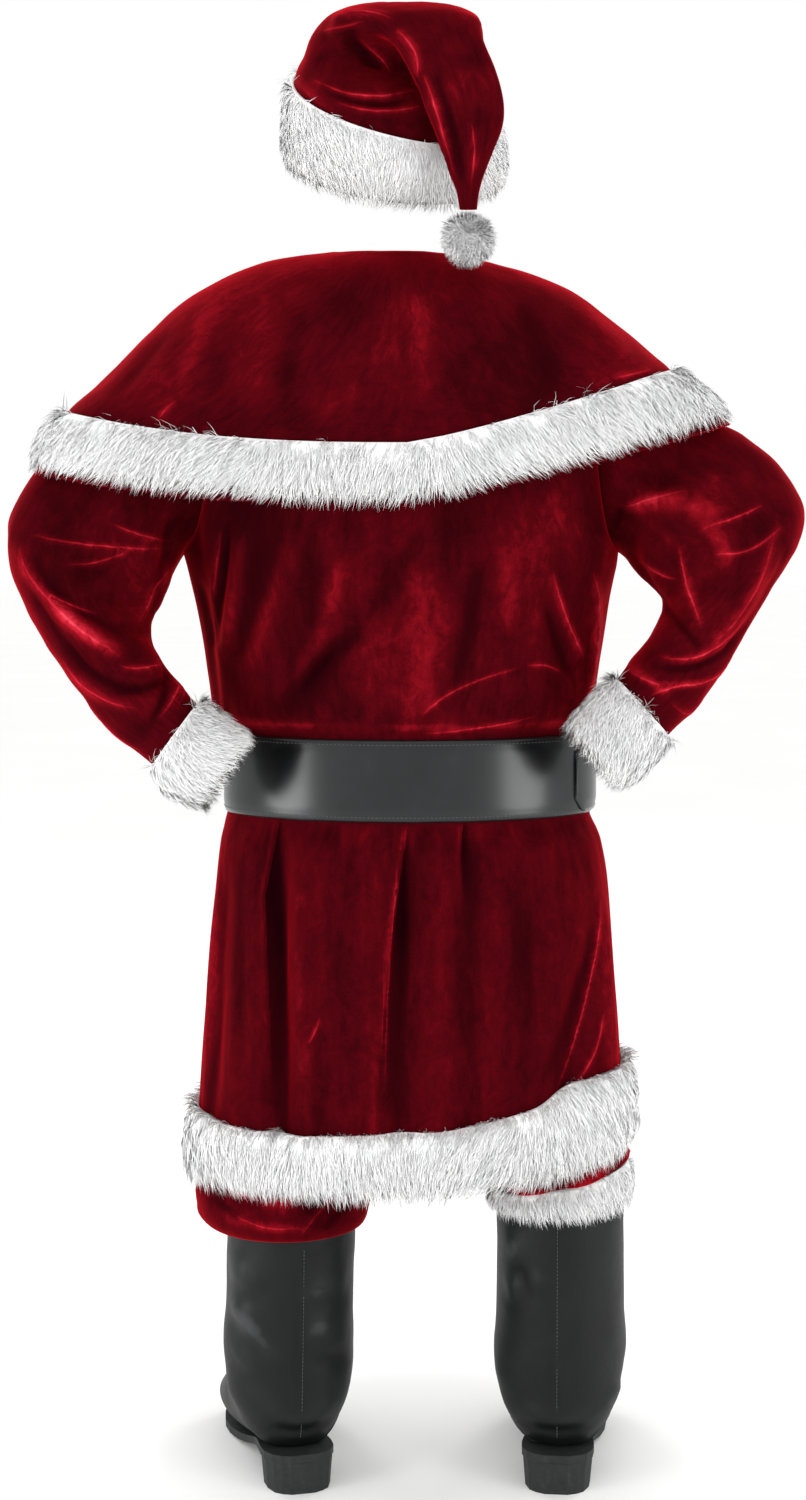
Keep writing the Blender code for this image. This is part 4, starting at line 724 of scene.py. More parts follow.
def crease_marks(points, creases, mirror=1, shift=0.0):
    """Layers of what the creases do at each point: how far they move it out of the cloth, how much painted
    light its ridge or painted shade its trough gets, how clear the painted highlight along the nearest crest
    is, and how far away that line is."""
    x, height = points[..., 0] * mirror, points[..., 2] + HOLD_HEIGHT - shift
    marks = no_marks(x.shape)
    t = np.linspace(0, 1, CREASE_STEPS)
    for crease in creases:
        weights = np.stack([(1 - t) * (1 - 2 * t), 4 * t * (1 - t), t * (2 * t - 1)])
        line_x = np.array([crease.x1, crease.x2, crease.x3]) @ weights
        line_h = np.array([crease.h1, crease.h2, crease.h3]) @ weights
        reach = max(3 * crease.width, 2 * CREST_SPAN)
        near = (x > line_x.min() - reach) & (x < line_x.max() + reach)
        near &= (height > line_h.min() - reach) & (height < line_h.max() + reach)
        away = (x[near][:, None] - line_x) ** 2 + (height[near][:, None] - line_h) ** 2
        closest = away.argmin(axis=1) if len(away) else np.zeros(0, int)
        share = t[closest]
        fade = np.clip(1 - np.abs(2 * share - 1) ** 3, 0, 1)
        distance = away[np.arange(len(away)), closest]
        fine = min(1, CREST_FINE / crease.width)
        light = math.copysign(CREST_LIGHT * fine + abs(crease.depth) / CREST_DEPTH, crease.depth)
        marks[near, 0] += crease.depth * fade * np.exp(-distance / crease.width**2)
        marks[near, 1] += light * fade * np.exp(-distance / (CREST_WIDTH * crease.width) ** 2)
        if crease.depth > 0 and crease.width <= CREST_WIDEST:
            way_x, way_h = np.gradient(line_x), np.gradient(line_h)
            off_x, off_h = x[near] - line_x[closest], height[near] - line_h[closest]
            off = off_x * way_h[closest] - off_h * way_x[closest]
            lined(marks, near, off / np.hypot(way_x, way_h)[closest], fade * fine)
    return marks


def no_marks(shape):
    marks = np.zeros((*shape, MARK_LAYERS))
    marks[..., 3] = CREST_FAR
    return marks


def clearer(lines, held):
    """Where a line of light is clearer than the one held, or nearer if neither shows."""
    unlit = (held[..., 2] == 0) & (np.abs(lines[..., 3]) < np.abs(held[..., 3]))
    return unlit | (lines[..., 2] > held[..., 2])


def lined(marks, near, off, strength):
    """Draws a painted highlight, a line of light, where off is 0. Of two lines, each point keeps the clearer
    one.
    """
    clear = strength * np.clip(2 - 2 * np.abs(off) / CREST_SPAN, 0, 1)
    held = marks[near]
    lines = np.stack([held[:, 0], held[:, 1], clear, off], axis=-1)
    better = clearer(lines, held)
    held[better] = lines[better]
    marks[near] = held


def pleat_marks(points, mirror=1):
    """The same layers for the skirt's pleats: painted shade in the wedges, with a thin painted highlight
    along their left edge.
    """
    x, height = points[..., 0] * mirror, points[..., 2] + HOLD_HEIGHT
    marks = no_marks(x.shape)
    for pleat in PLEATS:
        low, high = pleat.heights[0], pleat.heights[-1]
        left, right = [np.interp(height, pleat.heights, side) for side in (pleat.left, pleat.right)]
        down = (high - height) / (high - low)
        fade = smooth_step(down, *PLEAT_STARTS) * (1 - smooth_step(down, *PLEAT_ENDS))
        inside = smooth_step(x, right - 2 * PLEAT_SOFT, right + 3 * PLEAT_SOFT)
        inside = fade * inside * (1 - smooth_step(x, left - PLEAT_SOFT, left + PLEAT_SOFT))
        ridge = fade * bell(x - left, PLEAT_RIDGE, PLEAT_RIDGE)
        marks[..., 0] += PLEAT_RISE * ridge - pleat.depth * inside
        marks[..., 1] += PLEAT_PAINTED_LIGHT * ridge - PLEAT_PAINTED_SHADE * inside
        near = (np.abs(x - left) < 2 * CREST_SPAN) & (fade > 0)
        lined(marks, near, (x - left)[near], PLEAT_LINE * fade[near])
    return marks


def faded(marks, share):
    """The marks, weaker by that share. Distances to the lines of light stay as they are."""
    marks[..., :3] *= np.asarray(share)[..., None]
    return marks


def rippled(marks, points, waves, share=1.0):
    """Adds ripples to the marks: their crests are painted lighter and their hollows darker, as painted light
    and shade.
    """
    for wave in waves:
        amount = share * wave.height * ripples(points, wave.size, wave.seed)
        marks[..., 0] += amount
        marks[..., 1] += amount / PAINTED_SHADING_HEIGHT


def both_sides(points, normals, creases, shift):
    """Creases as drawn on the back, and the same ones, moved up by shift, on the front."""
    back = smooth_step(normals[..., 1], *BACK_FACING)
    front = smooth_step(-normals[..., 1], *BACK_FACING)
    return two_sides(crease_marks(points, creases), crease_marks(points, creases, 1, shift), back, front)


def two_sides(back_marks, front_marks, back, front):
    """The back's marks where back is more than 0, and the front's, weaker, where front is."""
    away = np.where(back > 0, back_marks[..., 3], front_marks[..., 3])
    marks = faded(back_marks, back) + faded(front_marks, front * FRONT_CREASE_SHARE)
    marks[..., 3] = away
    return marks


def lowest_near(values, step, closed):
    """The least value within step rows and columns of each place."""
    rows = np.pad(values, ((step, step), (0, 0)), mode="edge")
    low = np.min([rows[k : k + len(values)] for k in range(2 * step + 1)], axis=0)
    wide = np.pad(low, ((0, 0), (step, step)), mode="wrap" if closed else "edge")
    return np.min([wide[:, k : k + values.shape[1]] for k in range(2 * step + 1)], axis=0)


# ---------------------------------------------------------------- meshes


def settled(name, mesh, material):
    """The mesh as an object at the origin, its faces turned outwards."""
    work = bmesh.new()
    work.from_mesh(mesh)
    bmesh.ops.recalc_face_normals(work, faces=work.faces)
    if work.calc_volume(signed=True) < 0:
        bmesh.ops.reverse_faces(work, faces=work.faces)
    work.to_mesh(mesh)
    work.free()
    mesh.shade_smooth()
    mesh.materials.append(material)
    obj = bpy.data.objects.new(name, mesh)
    bpy.context.scene.collection.objects.link(obj)
    return obj


def finished(obj, node):
    """The piece rides on the suit's one body and stands for its CAD node."""
    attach(obj, "root")
    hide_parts(node)


def sheet_piece(name, node, slot, base, normals, marks, closed=False, shut_end=False, seams=()):
    """A sheet in its slot's finish and thickness, which stands for one CAD node."""
    finish, thickness = SHEETS[slot]
    material = material_for(finish)
    finished(shell(name, base, normals, marks, thickness, material, closed, shut_end, seams), node)


def shell(name, base, normals, marks, thickness, material, closed, shut_end, seams):
    """A sheet as one closed wall: a fine outer side moved out by the marks, over a coarser lining.

    seams names the edges sewn to a neighbour, which stand off by SEAM: first_row, last_row, columns.
    """
    lift = marks[..., 0]
    rows, columns = base.shape[:2]
    step = LINING_STEP
    outer = base + normals * lift[..., None]
    low = lowest_near(lift, step, closed)
    inner = base + normals * (low - thickness)[..., None]
    edges = {
        "rows": ("first_row" in seams, "last_row" in seams),
        "columns": ("columns" in seams, "columns" in seams),
    }
    outer, inner = drawn_in(outer, SEAM, **edges), drawn_in(inner, SEAM, **edges)[::step, ::step]
    points = np.concatenate([outer.reshape(-1, 3), inner.reshape(-1, 3)])
    in_rows, in_columns = inner.shape[:2]
    start = rows * columns
    wide = np.linalg.norm(np.diff(base, axis=1), axis=-1).mean(axis=0)
    tall = np.linalg.norm(np.diff(base, axis=0), axis=-1).mean(axis=1)
    u = np.concatenate([[0], np.cumsum(wide)])
    if closed:
        u = np.append(u, u[-1] + wide.mean())
    v = np.concatenate([[0], np.cumsum(tall)])

    def out_at(i, j):
        return i * columns + j % columns, (u[j], v[i])

    def in_at(i, j):
        whole = j * step
        return start + i * in_columns + j % in_columns, (u[whole], v[i * step])

    corners = []
    spans = columns if closed else columns - 1
    for i in range(rows - 1):
        for j in range(spans):
            corners.append((out_at(i, j), out_at(i, j + 1), out_at(i + 1, j + 1), out_at(i + 1, j)))
    in_spans = in_columns if closed else in_columns - 1
    for i in range(in_rows - 1):
        for j in range(in_spans):
            corners.append((in_at(i, j), in_at(i + 1, j), in_at(i + 1, j + 1), in_at(i, j + 1)))
    for j in range(in_spans):
        fine = range(j * step, (j + 1) * step + 1)
        corners.append([out_at(0, k) for k in reversed(fine)] + [in_at(0, j), in_at(0, j + 1)])
        if not shut_end:
            last = [out_at(rows - 1, k) for k in fine]
            corners.append(last + [in_at(in_rows - 1, j + 1), in_at(in_rows - 1, j)])
    if shut_end:
        corners.append([out_at(rows - 1, k) for k in range(columns)])
        corners.append([in_at(in_rows - 1, k) for k in reversed(range(in_columns))])
    if not closed:
        for i in range(in_rows - 1):
            fine = range(i * step, (i + 1) * step + 1)
            corners.append([out_at(k, 0) for k in fine] + [in_at(i + 1, 0), in_at(i, 0)])
            end = [out_at(k, columns - 1) for k in reversed(fine)]
            corners.append(end + [in_at(i, in_columns - 1), in_at(i + 1, in_columns - 1)])
    mesh = bpy.data.meshes.new(name)
    mesh.from_pydata(points.tolist(), [], [[place for place, _ in face] for face in corners])
    uv = np.array([spot for face in corners for _, spot in face], np.float32)
    mesh.uv_layers.new(name="cloth").data.foreach_set("uv", uv.ravel())
    for layer, title in enumerate(SHADED_LAYERS, 1):
        values = np.concatenate([marks[..., layer].ravel(), np.zeros(len(points) - start)])
        held = mesh.attributes.new(title, "FLOAT", "POINT")
        held.data.foreach_set("value", np.clip(values, -PAINTED_SHADING_LIMIT, PAINTED_SHADING_LIMIT).astype(np.float32))
    return settled(name, mesh, material)


# ---------------------------------------------------------------- materials

# The velvet's patterns: cells a metre across the cloth, the share of that down it, and their noise.
Pattern = namedtuple("Pattern", "scale down detail roughness distortion")
VELVET_PATTERNS = (
    Pattern(9.0, 0.5, 2.0, 0.5, 0.0),  # 110 mm: brushed patches a hand wide
    Pattern(48.0, 0.7, 6.0, 0.68, 1.2),  # 21 mm: crushed marbling
    Pattern(110.0, 0.22, 4.0, 0.65, 0.0),  # 9 mm: streaks
    Pattern(420.0, 1.0, 4.0, 0.7, 0.0),  # 2.4 mm: grain
    Pattern(1100.0, 1.0, 2.0, 0.5, 0.0),  # 0.9 mm: the pile, drawn coarser than it is so that it shows
)
# The ramp's dark stops also give the painted shade in troughs, folds and pleats, and its light upper stops
# the painted highlights on crests and ridges.
VELVET_COLOURS_AND_PAINTED_LIGHT = (
    (0.24, "#160004"),
    (0.42, "#2e0207"),
    (0.53, "#4c040c"),
    (0.66, "#7c0b17"),
    (0.80, "#b41f2f"),
    (1.00, "#dd4a5c"),
)
CREST_WANDER = 0.004  # how far the line of light strays
# The other patterns, in cells a metre. Each finish below gives what feeds its shader.
FUR_CLOUDS = 26.0  # 38 mm: random patches painted greyer, a painted shade where the pile parts
FUR_TUFTS = 90.0  # 11 mm
FUR_FIBRES = 500.0  # 2 mm
HIDE_CLOUDS = 14.0  # 70 mm
HIDE_WRINKLES = 90.0  # 11 mm
PEBBLES = 900.0  # 1.1 mm
SCUFFS = 120.0  # 8 mm
HAIRLINES = 90.0  # 11 mm, and a thirtieth of that across
THREAD_FIBRES = 1500.0  # 0.7 mm
FLOOR_CLOUDS = 1.5  # 0.7 m


def linear(colour):
    """A colour written as sRGB hex, as the linear values that Blender takes."""
    parts = [int(colour[i : i + 2], 16) / 255 for i in (1, 3, 5)]
    return (*[v / 12.92 if v <= 0.04045 else ((v + 0.055) / 1.055) ** 2.4 for v in parts], 1.0)


def feed(tree, node, inputs):
    """Sets a node's inputs to values or links them from others. A node stands for its first output."""
    for name, value in inputs.items():
        for source in value if isinstance(value, list) else [value]:
            if isinstance(source, bpy.types.Node):
                source = source.outputs[0]
            if isinstance(source, bpy.types.NodeSocket):
                tree.links.new(source, node.inputs[name])
            else:
                node.inputs[name].default_value = source


def add_node(tree, kind, *ordered, stops=(), **named):
    """A node with its settings, in lower case, and its inputs in order or by name. Stops are a ramp's."""
    node = tree.nodes.new(kind)
    for name in [name for name in named if name[0].islower()]:
        setattr(node, name, named.pop(name))
    feed(tree, node, {**dict(enumerate(ordered)), **named})
    if stops:
        elements = node.color_ramp.elements
        while len(elements) < len(stops):
            elements.new(0.5)
        for element, (place, colour) in zip(elements, stops):
            element.position, element.color = place, linear(colour)
    return node


def total(tree, parts, base=None):
    """The sum of values, each times its weight, and of a base."""
    value = None
    for part, weight in parts:
        share = add_node(tree, "ShaderNodeMath", part, weight, operation="MULTIPLY")
        if value is not None:
            share = add_node(tree, "ShaderNodeMath", value, share, operation="ADD")
        value = share
    return value if base is None else add_node(tree, "ShaderNodeMath", value, base, operation="ADD")


def vector_total(tree, parts):
    """The sum of vectors, each times its weight."""
    value = None
    for part, weight in parts:
        share = add_node(tree, "ShaderNodeVectorMath", part, operation="SCALE", Scale=weight)
        if value is not None:
            share = add_node(tree, "ShaderNodeVectorMath", value, share, operation="ADD")
        value = share
    return value


def relief(tree, layers, under=None):
    """The surface's normal under layers of relief. Each has its pattern, strength and depth."""
    for height, strength, depth in layers:
        inputs = {"Height": height, "Strength": strength, "Distance": depth}
        if under is not None:
            inputs["Normal"] = under
        under = add_node(tree, "ShaderNodeBump", **inputs)
    return under


def crushed_velvet(tree):
    """Crushed polyester velvet, knitted and brushed: dark, but red where its pile turns edge-on, with
    painted light on crests and painted shade in troughs and pleats.
    """
    uv = add_node(tree, "ShaderNodeUVMap", uv_map="cloth")
    nap, crest, away = [
        add_node(tree, "ShaderNodeAttribute", attribute_name=layer).outputs["Fac"] for layer in SHADED_LAYERS
    ]
    noises = []
    for pattern in VELVET_PATTERNS:
        spot = uv
        if pattern.down != 1:
            spot = add_node(tree, "ShaderNodeMapping", Vector=uv, Scale=(1.0, pattern.down, 1.0))
        noise = add_node(tree, "ShaderNodeTexNoise", Vector=spot, Scale=pattern.scale, Detail=pattern.detail)
        feed(tree, noise, {"Roughness": pattern.roughness, "Distortion": pattern.distortion})
        noises.append(noise)
    patches, crushed, streaks, grain, pile = noises
    # The painted light and shade of the creases, ripples and folds, broken up by the marbling.
    uneven = total(tree, [(crushed, 1.1)], 0.45)
    broken = add_node(tree, "ShaderNodeMath", nap, uneven, operation="MULTIPLY")
    # A thin uneven painted highlight, a line of light, runs along the crests of creases, where the pile
    # parts.
    centred = add_node(tree, "ShaderNodeMath", crushed, 0.5, operation="SUBTRACT")
    off = add_node(tree, "ShaderNodeMath", away, total(tree, [(centred, CREST_WANDER)]), operation="ADD")
    off = add_node(tree, "ShaderNodeMath", off, operation="ABSOLUTE")
    off = add_node(tree, "ShaderNodeMath", off, CREST_HALF, operation="DIVIDE")
    line = add_node(tree, "ShaderNodeMath", 1.0, off, operation="SUBTRACT")
    line = add_node(tree, "ShaderNodeMath", line, 0.0, operation="MAXIMUM")
    for share in (crest, total(tree, [(streaks, 1.6)], 0.2)):
        line = add_node(tree, "ShaderNodeMath", line, share, operation="MULTIPLY")
    parts = [(broken, 0.24), (patches, 0.10), (crushed, 0.18), (streaks, 0.14), (grain, 0.12), (line, 0.17)]
    return {
        "Base Color": add_node(tree, "ShaderNodeValToRGB", total(tree, parts, 0.21), stops=VELVET_COLOURS_AND_PAINTED_LIGHT),
        "Roughness": 0.8,
        "IOR": 1.05,
        "Sheen Weight": suit_settings().velvet_sheen,
        "Sheen Roughness": 0.38,
        "Sheen Tint": linear("#ff1428"),
        "Normal": relief(tree, [(crushed, 0.20, 0.004), (streaks, 0.12, 0.002), (pile, 0.22, 0.0006)]),
    }


def pile_fur(tree):
    """Acrylic pile fur, brushed: white fibres that melt into soft cloudy tufts, painted cool grey towards
    their roots as painted shade between the fibres.
    """
    spot = add_node(tree, "ShaderNodeTexCoord").outputs["Object"]
    depth = add_node(tree, "ShaderNodeAttribute", attribute_name="along").outputs["Fac"]
    clouds = add_node(tree, "ShaderNodeTexNoise", Vector=spot, Scale=FUR_CLOUDS)
    tufts = add_node(tree, "ShaderNodeTexNoise", Vector=spot, Scale=FUR_TUFTS, Detail=3.0, Roughness=0.6)
    fibres = add_node(tree, "ShaderNodeTexNoise", Vector=spot, Scale=FUR_FIBRES, Detail=3.0)
    # Blades are painted greyer towards their roots, and the body under them greyer still: painted shade
    # between the fibres.
    value = total(tree, [(depth, 0.16), (clouds, 0.64), (tufts, 0.42)])
    stops = [(0.30, "#e8eaeb"), (0.50, "#f8f9f9"), (0.68, "#fefefe"), (0.85, "#ffffff")]
    # Thousands of fibres scatter the light as one soft body, so each blade leans to the body's own normal.
    own = add_node(tree, "ShaderNodeNewGeometry").outputs["Normal"]
    body = add_node(tree, "ShaderNodeAttribute", attribute_name="soft").outputs["Vector"]
    mixed = vector_total(tree, [(own, 0.10), (body, 0.90)])
    normal = add_node(tree, "ShaderNodeVectorMath", mixed, operation="NORMALIZE")
    return {
        "Base Color": add_node(tree, "ShaderNodeValToRGB", value, stops=stops),
        "Roughness": 0.9,
        "Specular IOR Level": 0.1,
        "Sheen Weight": 0.3,
        "Sheen Roughness": 0.5,
        "Sheen Tint": linear("#ffffff"),
        "Normal": relief(tree, [(fibres, 0.15, 0.002)], normal),
    }


def leatherette(tree, colours, roughness, grain, fold, gloss):
    """Polyurethane leatherette, embossed with a fine pebble and calendered: soft wide highlights."""
    spot = add_node(tree, "ShaderNodeTexCoord").outputs["Object"]
    clouds = add_node(tree, "ShaderNodeTexNoise", Vector=spot, Scale=HIDE_CLOUDS, Detail=3.0, Roughness=0.55)
    cells = add_node(tree, "ShaderNodeTexVoronoi", Vector=spot, Scale=PEBBLES)
    wrinkles = add_node(tree, "ShaderNodeTexNoise", Vector=spot, Scale=HIDE_WRINKLES, Detail=4.0)
    feed(tree, wrinkles, {"Roughness": 0.6, "Distortion": 0.4})
    # Creases are painted a little lighter on their crests, a painted sheen, and darker in their troughs, a
    # painted shade.
    nap = add_node(tree, "ShaderNodeAttribute", attribute_name="nap").outputs["Fac"]
    clouds_and_painted_sheen = total(tree, [(clouds, 1.0), (nap, 0.60)])
    stops = list(zip((0.3, 0.55, 0.75, 1.0), colours))
    return {
        "Base Color": add_node(tree, "ShaderNodeValToRGB", clouds_and_painted_sheen, stops=stops),
        "Roughness": total(tree, [(clouds, 0.16), (wrinkles, 0.12)], roughness - 0.14),
        "Normal": relief(tree, [(wrinkles, fold, 0.002), (cells, grain, 0.0004)]),
        **gloss,
    }


def belt_leatherette(tree):
    """The belt's: black under a clear coat, with a wide soft highlight."""
    gloss = {"Specular IOR Level": 0.10, "Coat Weight": 0.70, "Coat Roughness": 0.24}
    return leatherette(tree, ("#0a0c0d", "#101314", "#181c1e", "#363a3a"), 0.34, 0.12, 0.10, gloss)


def boot_leatherette(tree):
    """The boots': duller and more wrinkled, with hardly any coat."""
    gloss = {"Specular IOR Level": 0.20, "Coat Weight": 0.05, "Coat Roughness": 0.30}
    return leatherette(tree, ("#090a0a", "#0e1010", "#151717", "#363a3a"), 0.56, 0.16, 0.22, gloss)


def moulded_rubber(tree):
    """Moulded rubber: a matte black that is scuffed grey in fine specks."""
    spot = add_node(tree, "ShaderNodeTexCoord").outputs["Object"]
    scuffs = add_node(tree, "ShaderNodeTexNoise", Vector=spot, Scale=SCUFFS, Detail=5.0, Roughness=0.7)
    stops = [(0.35, "#141616"), (0.6, "#212424"), (0.8, "#3b3f3e")]
    return {
        "Base Color": add_node(tree, "ShaderNodeValToRGB", scuffs, stops=stops),
        "Specular IOR Level": 0.35,
        "Roughness": total(tree, [(scuffs, 0.3)], 0.55),
        "Normal": relief(tree, [(scuffs, 0.25, 0.0008)]),
    }


def plated_brass(tree):
    """Brass-plated zinc, die cast and polished: warm yellow with faint hairlines."""
    spot = add_node(tree, "ShaderNodeTexCoord").outputs["Object"]
    drawn = add_node(tree, "ShaderNodeMapping", Vector=spot, Scale=(1.0, 1.0, 30.0))
    hairlines = add_node(tree, "ShaderNodeTexNoise", Vector=drawn, Scale=HAIRLINES, Detail=3.0)
    stops = [(0.3, "#b98f24"), (0.7, "#dcb94b")]
    return {
        "Base Color": add_node(tree, "ShaderNodeValToRGB", hairlines, stops=stops),
        "Metallic": 1.0,
        "Roughness": total(tree, [(hairlines, 0.18)], 0.16),
        "Normal": relief(tree, [(hairlines, 0.08, 0.0004)]),
    }


def nylon_thread(tree):
    """Bonded nylon thread, twisted: a dull strand with a fine slanting rib."""
    spot = add_node(tree, "ShaderNodeTexCoord").outputs["Object"]
    fibres = add_node(tree, "ShaderNodeTexNoise", Vector=spot, Scale=THREAD_FIBRES)
    stops = [(0.3, "#17191a"), (0.7, "#5a6062")]
    return {
        "Base Color": add_node(tree, "ShaderNodeValToRGB", fibres, stops=stops),
        "Roughness": 0.6,
        "Specular IOR Level": 0.3,
        "Normal": relief(tree, [(fibres, 0.3, 0.0003)]),
    }


def painted_floor(tree):
    """Matt emulsion paint, rolled on: white, with the faintest clouds."""
    spot = add_node(tree, "ShaderNodeTexCoord").outputs["Object"]
    clouds = add_node(tree, "ShaderNodeTexNoise", Vector=spot, Scale=FLOOR_CLOUDS)
    stops = [(0.3, "#fdfdfc"), (0.7, "#ffffff")]
    shade = add_node(tree, "ShaderNodeValToRGB", clouds, stops=stops)
    return {"Base Color": shade, "Roughness": 0.9, "Specular IOR Level": 0.1}


FINISHES = {
    "crushed_velvet": crushed_velvet,
    "pile_fur": pile_fur,
    "belt_leatherette": belt_leatherette,
    "boot_leatherette": boot_leatherette,
    "moulded_rubber": moulded_rubber,
    "plated_brass": plated_brass,
    "nylon_thread": nylon_thread,
    "painted_floor": painted_floor,
}


def material_for(name):
    """The material of the finish with that name, made once."""
    material = bpy.data.materials.get(name)
    if material is None:
        material = bpy.data.materials.new(name)
        material.use_nodes = True
        tree = material.node_tree
        feed(tree, tree.nodes["Principled BSDF"], FINISHES[name](tree))
    return material


# ---------------------------------------------------------------- geometry nodes

# The least and most that chance gives each blade, and its seed: which way it strays, how far it is
# twisted, and its width, thickness and length.
STRAY = ((-1.0, -1.0, -1.0), (1.0, 1.0, 1.0), 11)
TWIST = ((0.0, 0.0, -0.9), (0.0, 0.0, 0.9), 12)
BLADE_SIZE = ((0.7, 0.4, 0.55), (1.3, 1.6, 1.15), 13)


def new_tree(name, inputs):
    """An empty geometry tree with named inputs: each has a name, a socket kind and a default."""
    tree = bpy.data.node_groups.new(name, "GeometryNodeTree")
    tree.interface.new_socket("Geometry", in_out="INPUT", socket_type="NodeSocketGeometry")
    for title, kind, default in inputs:
        socket = tree.interface.new_socket(title, in_out="INPUT", socket_type="NodeSocket" + kind)
        if default is not None:
            socket.default_value = default
    tree.interface.new_socket("Geometry", in_out="OUTPUT", socket_type="NodeSocketGeometry")
    return tree, add_node(tree, "NodeGroupInput").outputs


def ended(tree, geometry, finish):
    """The tree, which ends by making its copies real and giving them their finish."""
    real = add_node(tree, "GeometryNodeRealizeInstances", Geometry=geometry)
    painted = add_node(tree, "GeometryNodeSetMaterial", Geometry=real, Material=finish)
    add_node(tree, "NodeGroupOutput", Geometry=painted)
    return tree


def fur_tree():
    """Blades of fur over a body's pile faces, leaning out by Rise and down the comb by Fall."""
    inputs = [
        ("Density", "Float", 100000.0),
        ("Length", "Float", 0.025),
        ("Width", "Float", 1.0),
        ("Rise", "Float", 1.0),
        ("Fall", "Float", 1.0),
        ("Scatter", "Float", 0.3),
        ("Lock size", "Float", 60.0),
        ("Lock lean", "Float", 1.0),
        ("Seed", "Int", 0),
        ("Blade", "Object", None),
        ("Finish", "Material", None),
    ]
    tree, given = new_tree("Fur pile", inputs)
    soft = {"data_type": "FLOAT_VECTOR", "domain": "POINT", "Name": "soft"}
    own = add_node(tree, "GeometryNodeInputNormal")
    body = add_node(tree, "GeometryNodeStoreNamedAttribute", Geometry=given["Geometry"], Value=own, **soft)
    spread = add_node(
        tree,
        "GeometryNodeDistributePointsOnFaces",
        distribute_method="RANDOM",
        Mesh=body,
        Selection=add_node(tree, "GeometryNodeInputNamedAttribute", data_type="BOOLEAN", Name="pile"),
        Density=given["Density"],
        Seed=given["Seed"],
    )
    normal = spread.outputs["Normal"]
    points = add_node(tree, "GeometryNodeStoreNamedAttribute", Geometry=spread, Value=normal, **soft)
    comb = add_node(tree, "GeometryNodeInputNamedAttribute", data_type="FLOAT_VECTOR", Name="comb")
    place = add_node(tree, "GeometryNodeInputPosition")
    locks = add_node(tree, "ShaderNodeTexNoise", Vector=place, Scale=given["Lock size"]).outputs["Color"]
    centred = add_node(tree, "ShaderNodeVectorMath", locks, (0.5, 0.5, 0.5), operation="SUBTRACT")
    stray, twist, size = [
        add_node(tree, "FunctionNodeRandomValue", low, high, data_type="FLOAT_VECTOR", Seed=seed)
        for low, high, seed in (STRAY, TWIST, BLADE_SIZE)
    ]
    parts = [(normal, "Rise"), (comb, "Fall"), (centred, "Lock lean"), (stray, "Scatter")]
    lean = vector_total(tree, [(part, given[weight]) for part, weight in parts])
    turn = add_node(tree, "FunctionNodeAlignRotationToVector", axis="Z", Vector=lean)
    turn = add_node(
        tree, "FunctionNodeAlignRotationToVector", axis="Y", pivot_axis="Z", Rotation=turn, Vector=normal
    )
    scale = add_node(tree, "ShaderNodeCombineXYZ", given["Width"], given["Length"], given["Length"])
    blade = add_node(tree, "GeometryNodeObjectInfo", transform_space="ORIGINAL", Object=given["Blade"])
    blades = add_node(
        tree,
        "GeometryNodeInstanceOnPoints",
        Points=points,
        Instance=blade.outputs["Geometry"],
        Rotation=add_node(tree, "FunctionNodeRotateRotation", turn, twist, rotation_space="LOCAL"),
        Scale=add_node(tree, "ShaderNodeVectorMath", size, scale, operation="MULTIPLY"),
    )
    both = add_node(tree, "GeometryNodeJoinGeometry", Geometry=[blades, body])
    return ended(tree, both, given["Finish"])


def stitch_tree():
    """A stitch at every point of a line, laid along the seam."""
    inputs = [("Length", "Float", 0.004), ("Stitch", "Object", None), ("Finish", "Material", None)]
    tree, given = new_tree("Stitch row", inputs)
    seam, out = [
        add_node(tree, "GeometryNodeInputNamedAttribute", data_type="FLOAT_VECTOR", Name=name)
        for name in ("seam", "out")
    ]
    turn = add_node(tree, "FunctionNodeAlignRotationToVector", axis="X", Vector=seam)
    stitch = add_node(tree, "GeometryNodeObjectInfo", transform_space="ORIGINAL", Object=given["Stitch"])
    sewn = add_node(
        tree,
        "GeometryNodeInstanceOnPoints",
        Points=given["Geometry"],
        Instance=stitch.outputs["Geometry"],
        Rotation=add_node(
            tree, "FunctionNodeAlignRotationToVector", axis="Z", pivot_axis="X", Rotation=turn, Vector=out
        ),
        Scale=add_node(tree, "ShaderNodeCombineXYZ", *[given["Length"]] * 3),
    )
    return ended(tree, sewn, given["Finish"])


def tree_named(name, maker):
    return bpy.data.node_groups.get(name) or maker()


def grown(obj, tree, values):
    """The object with the tree run over it, as a plain mesh in the tree's finish."""
    modifier = obj.modifiers.new(tree.name, "NODES")
    modifier.node_group = tree
    for item in tree.interface.items_tree:
        if item.in_out == "INPUT" and item.name in values:
            modifier[item.identifier] = values[item.name]
    graph = bpy.context.evaluated_depsgraph_get()
    mesh = bpy.data.meshes.new_from_object(
        obj.evaluated_get(graph), preserve_all_data_layers=True, depsgraph=graph
    )
    obj.modifiers.clear()
    obj.data = mesh
    mesh.materials.clear()
    mesh.materials.append(values["Finish"])
    return obj


def pattern_object(name, points, faces):
    """A small shape for a tree to repeat. It is removed once the tree has run."""
    mesh = bpy.data.meshes.new(name)
    mesh.from_pydata(points, [], faces)
    mesh.shade_smooth()
    obj = bpy.data.objects.new(name, mesh)
    bpy.context.scene.collection.objects.link(obj)
    return obj


def blade_object(width):
    """A blade of fur one unit long that bows over towards the cloth and narrows to its tip."""
    half = width / 2
    points = [(-half, 0.0, 0.0), (half, 0.0, 0.0), (-0.8 * half, 0.05, 0.52), (0.8 * half, 0.05, 0.52)]
    points.append((0.0, -0.20, 1.0))
    obj = pattern_object("fur_blade", points, [(0, 1, 3, 2), (2, 3, 4)])
    shade = obj.data.attributes.new("along", "FLOAT", "POINT")
    shade.data.foreach_set("value", [0.15, 0.15, 0.6, 0.6, 1.0])
    return obj


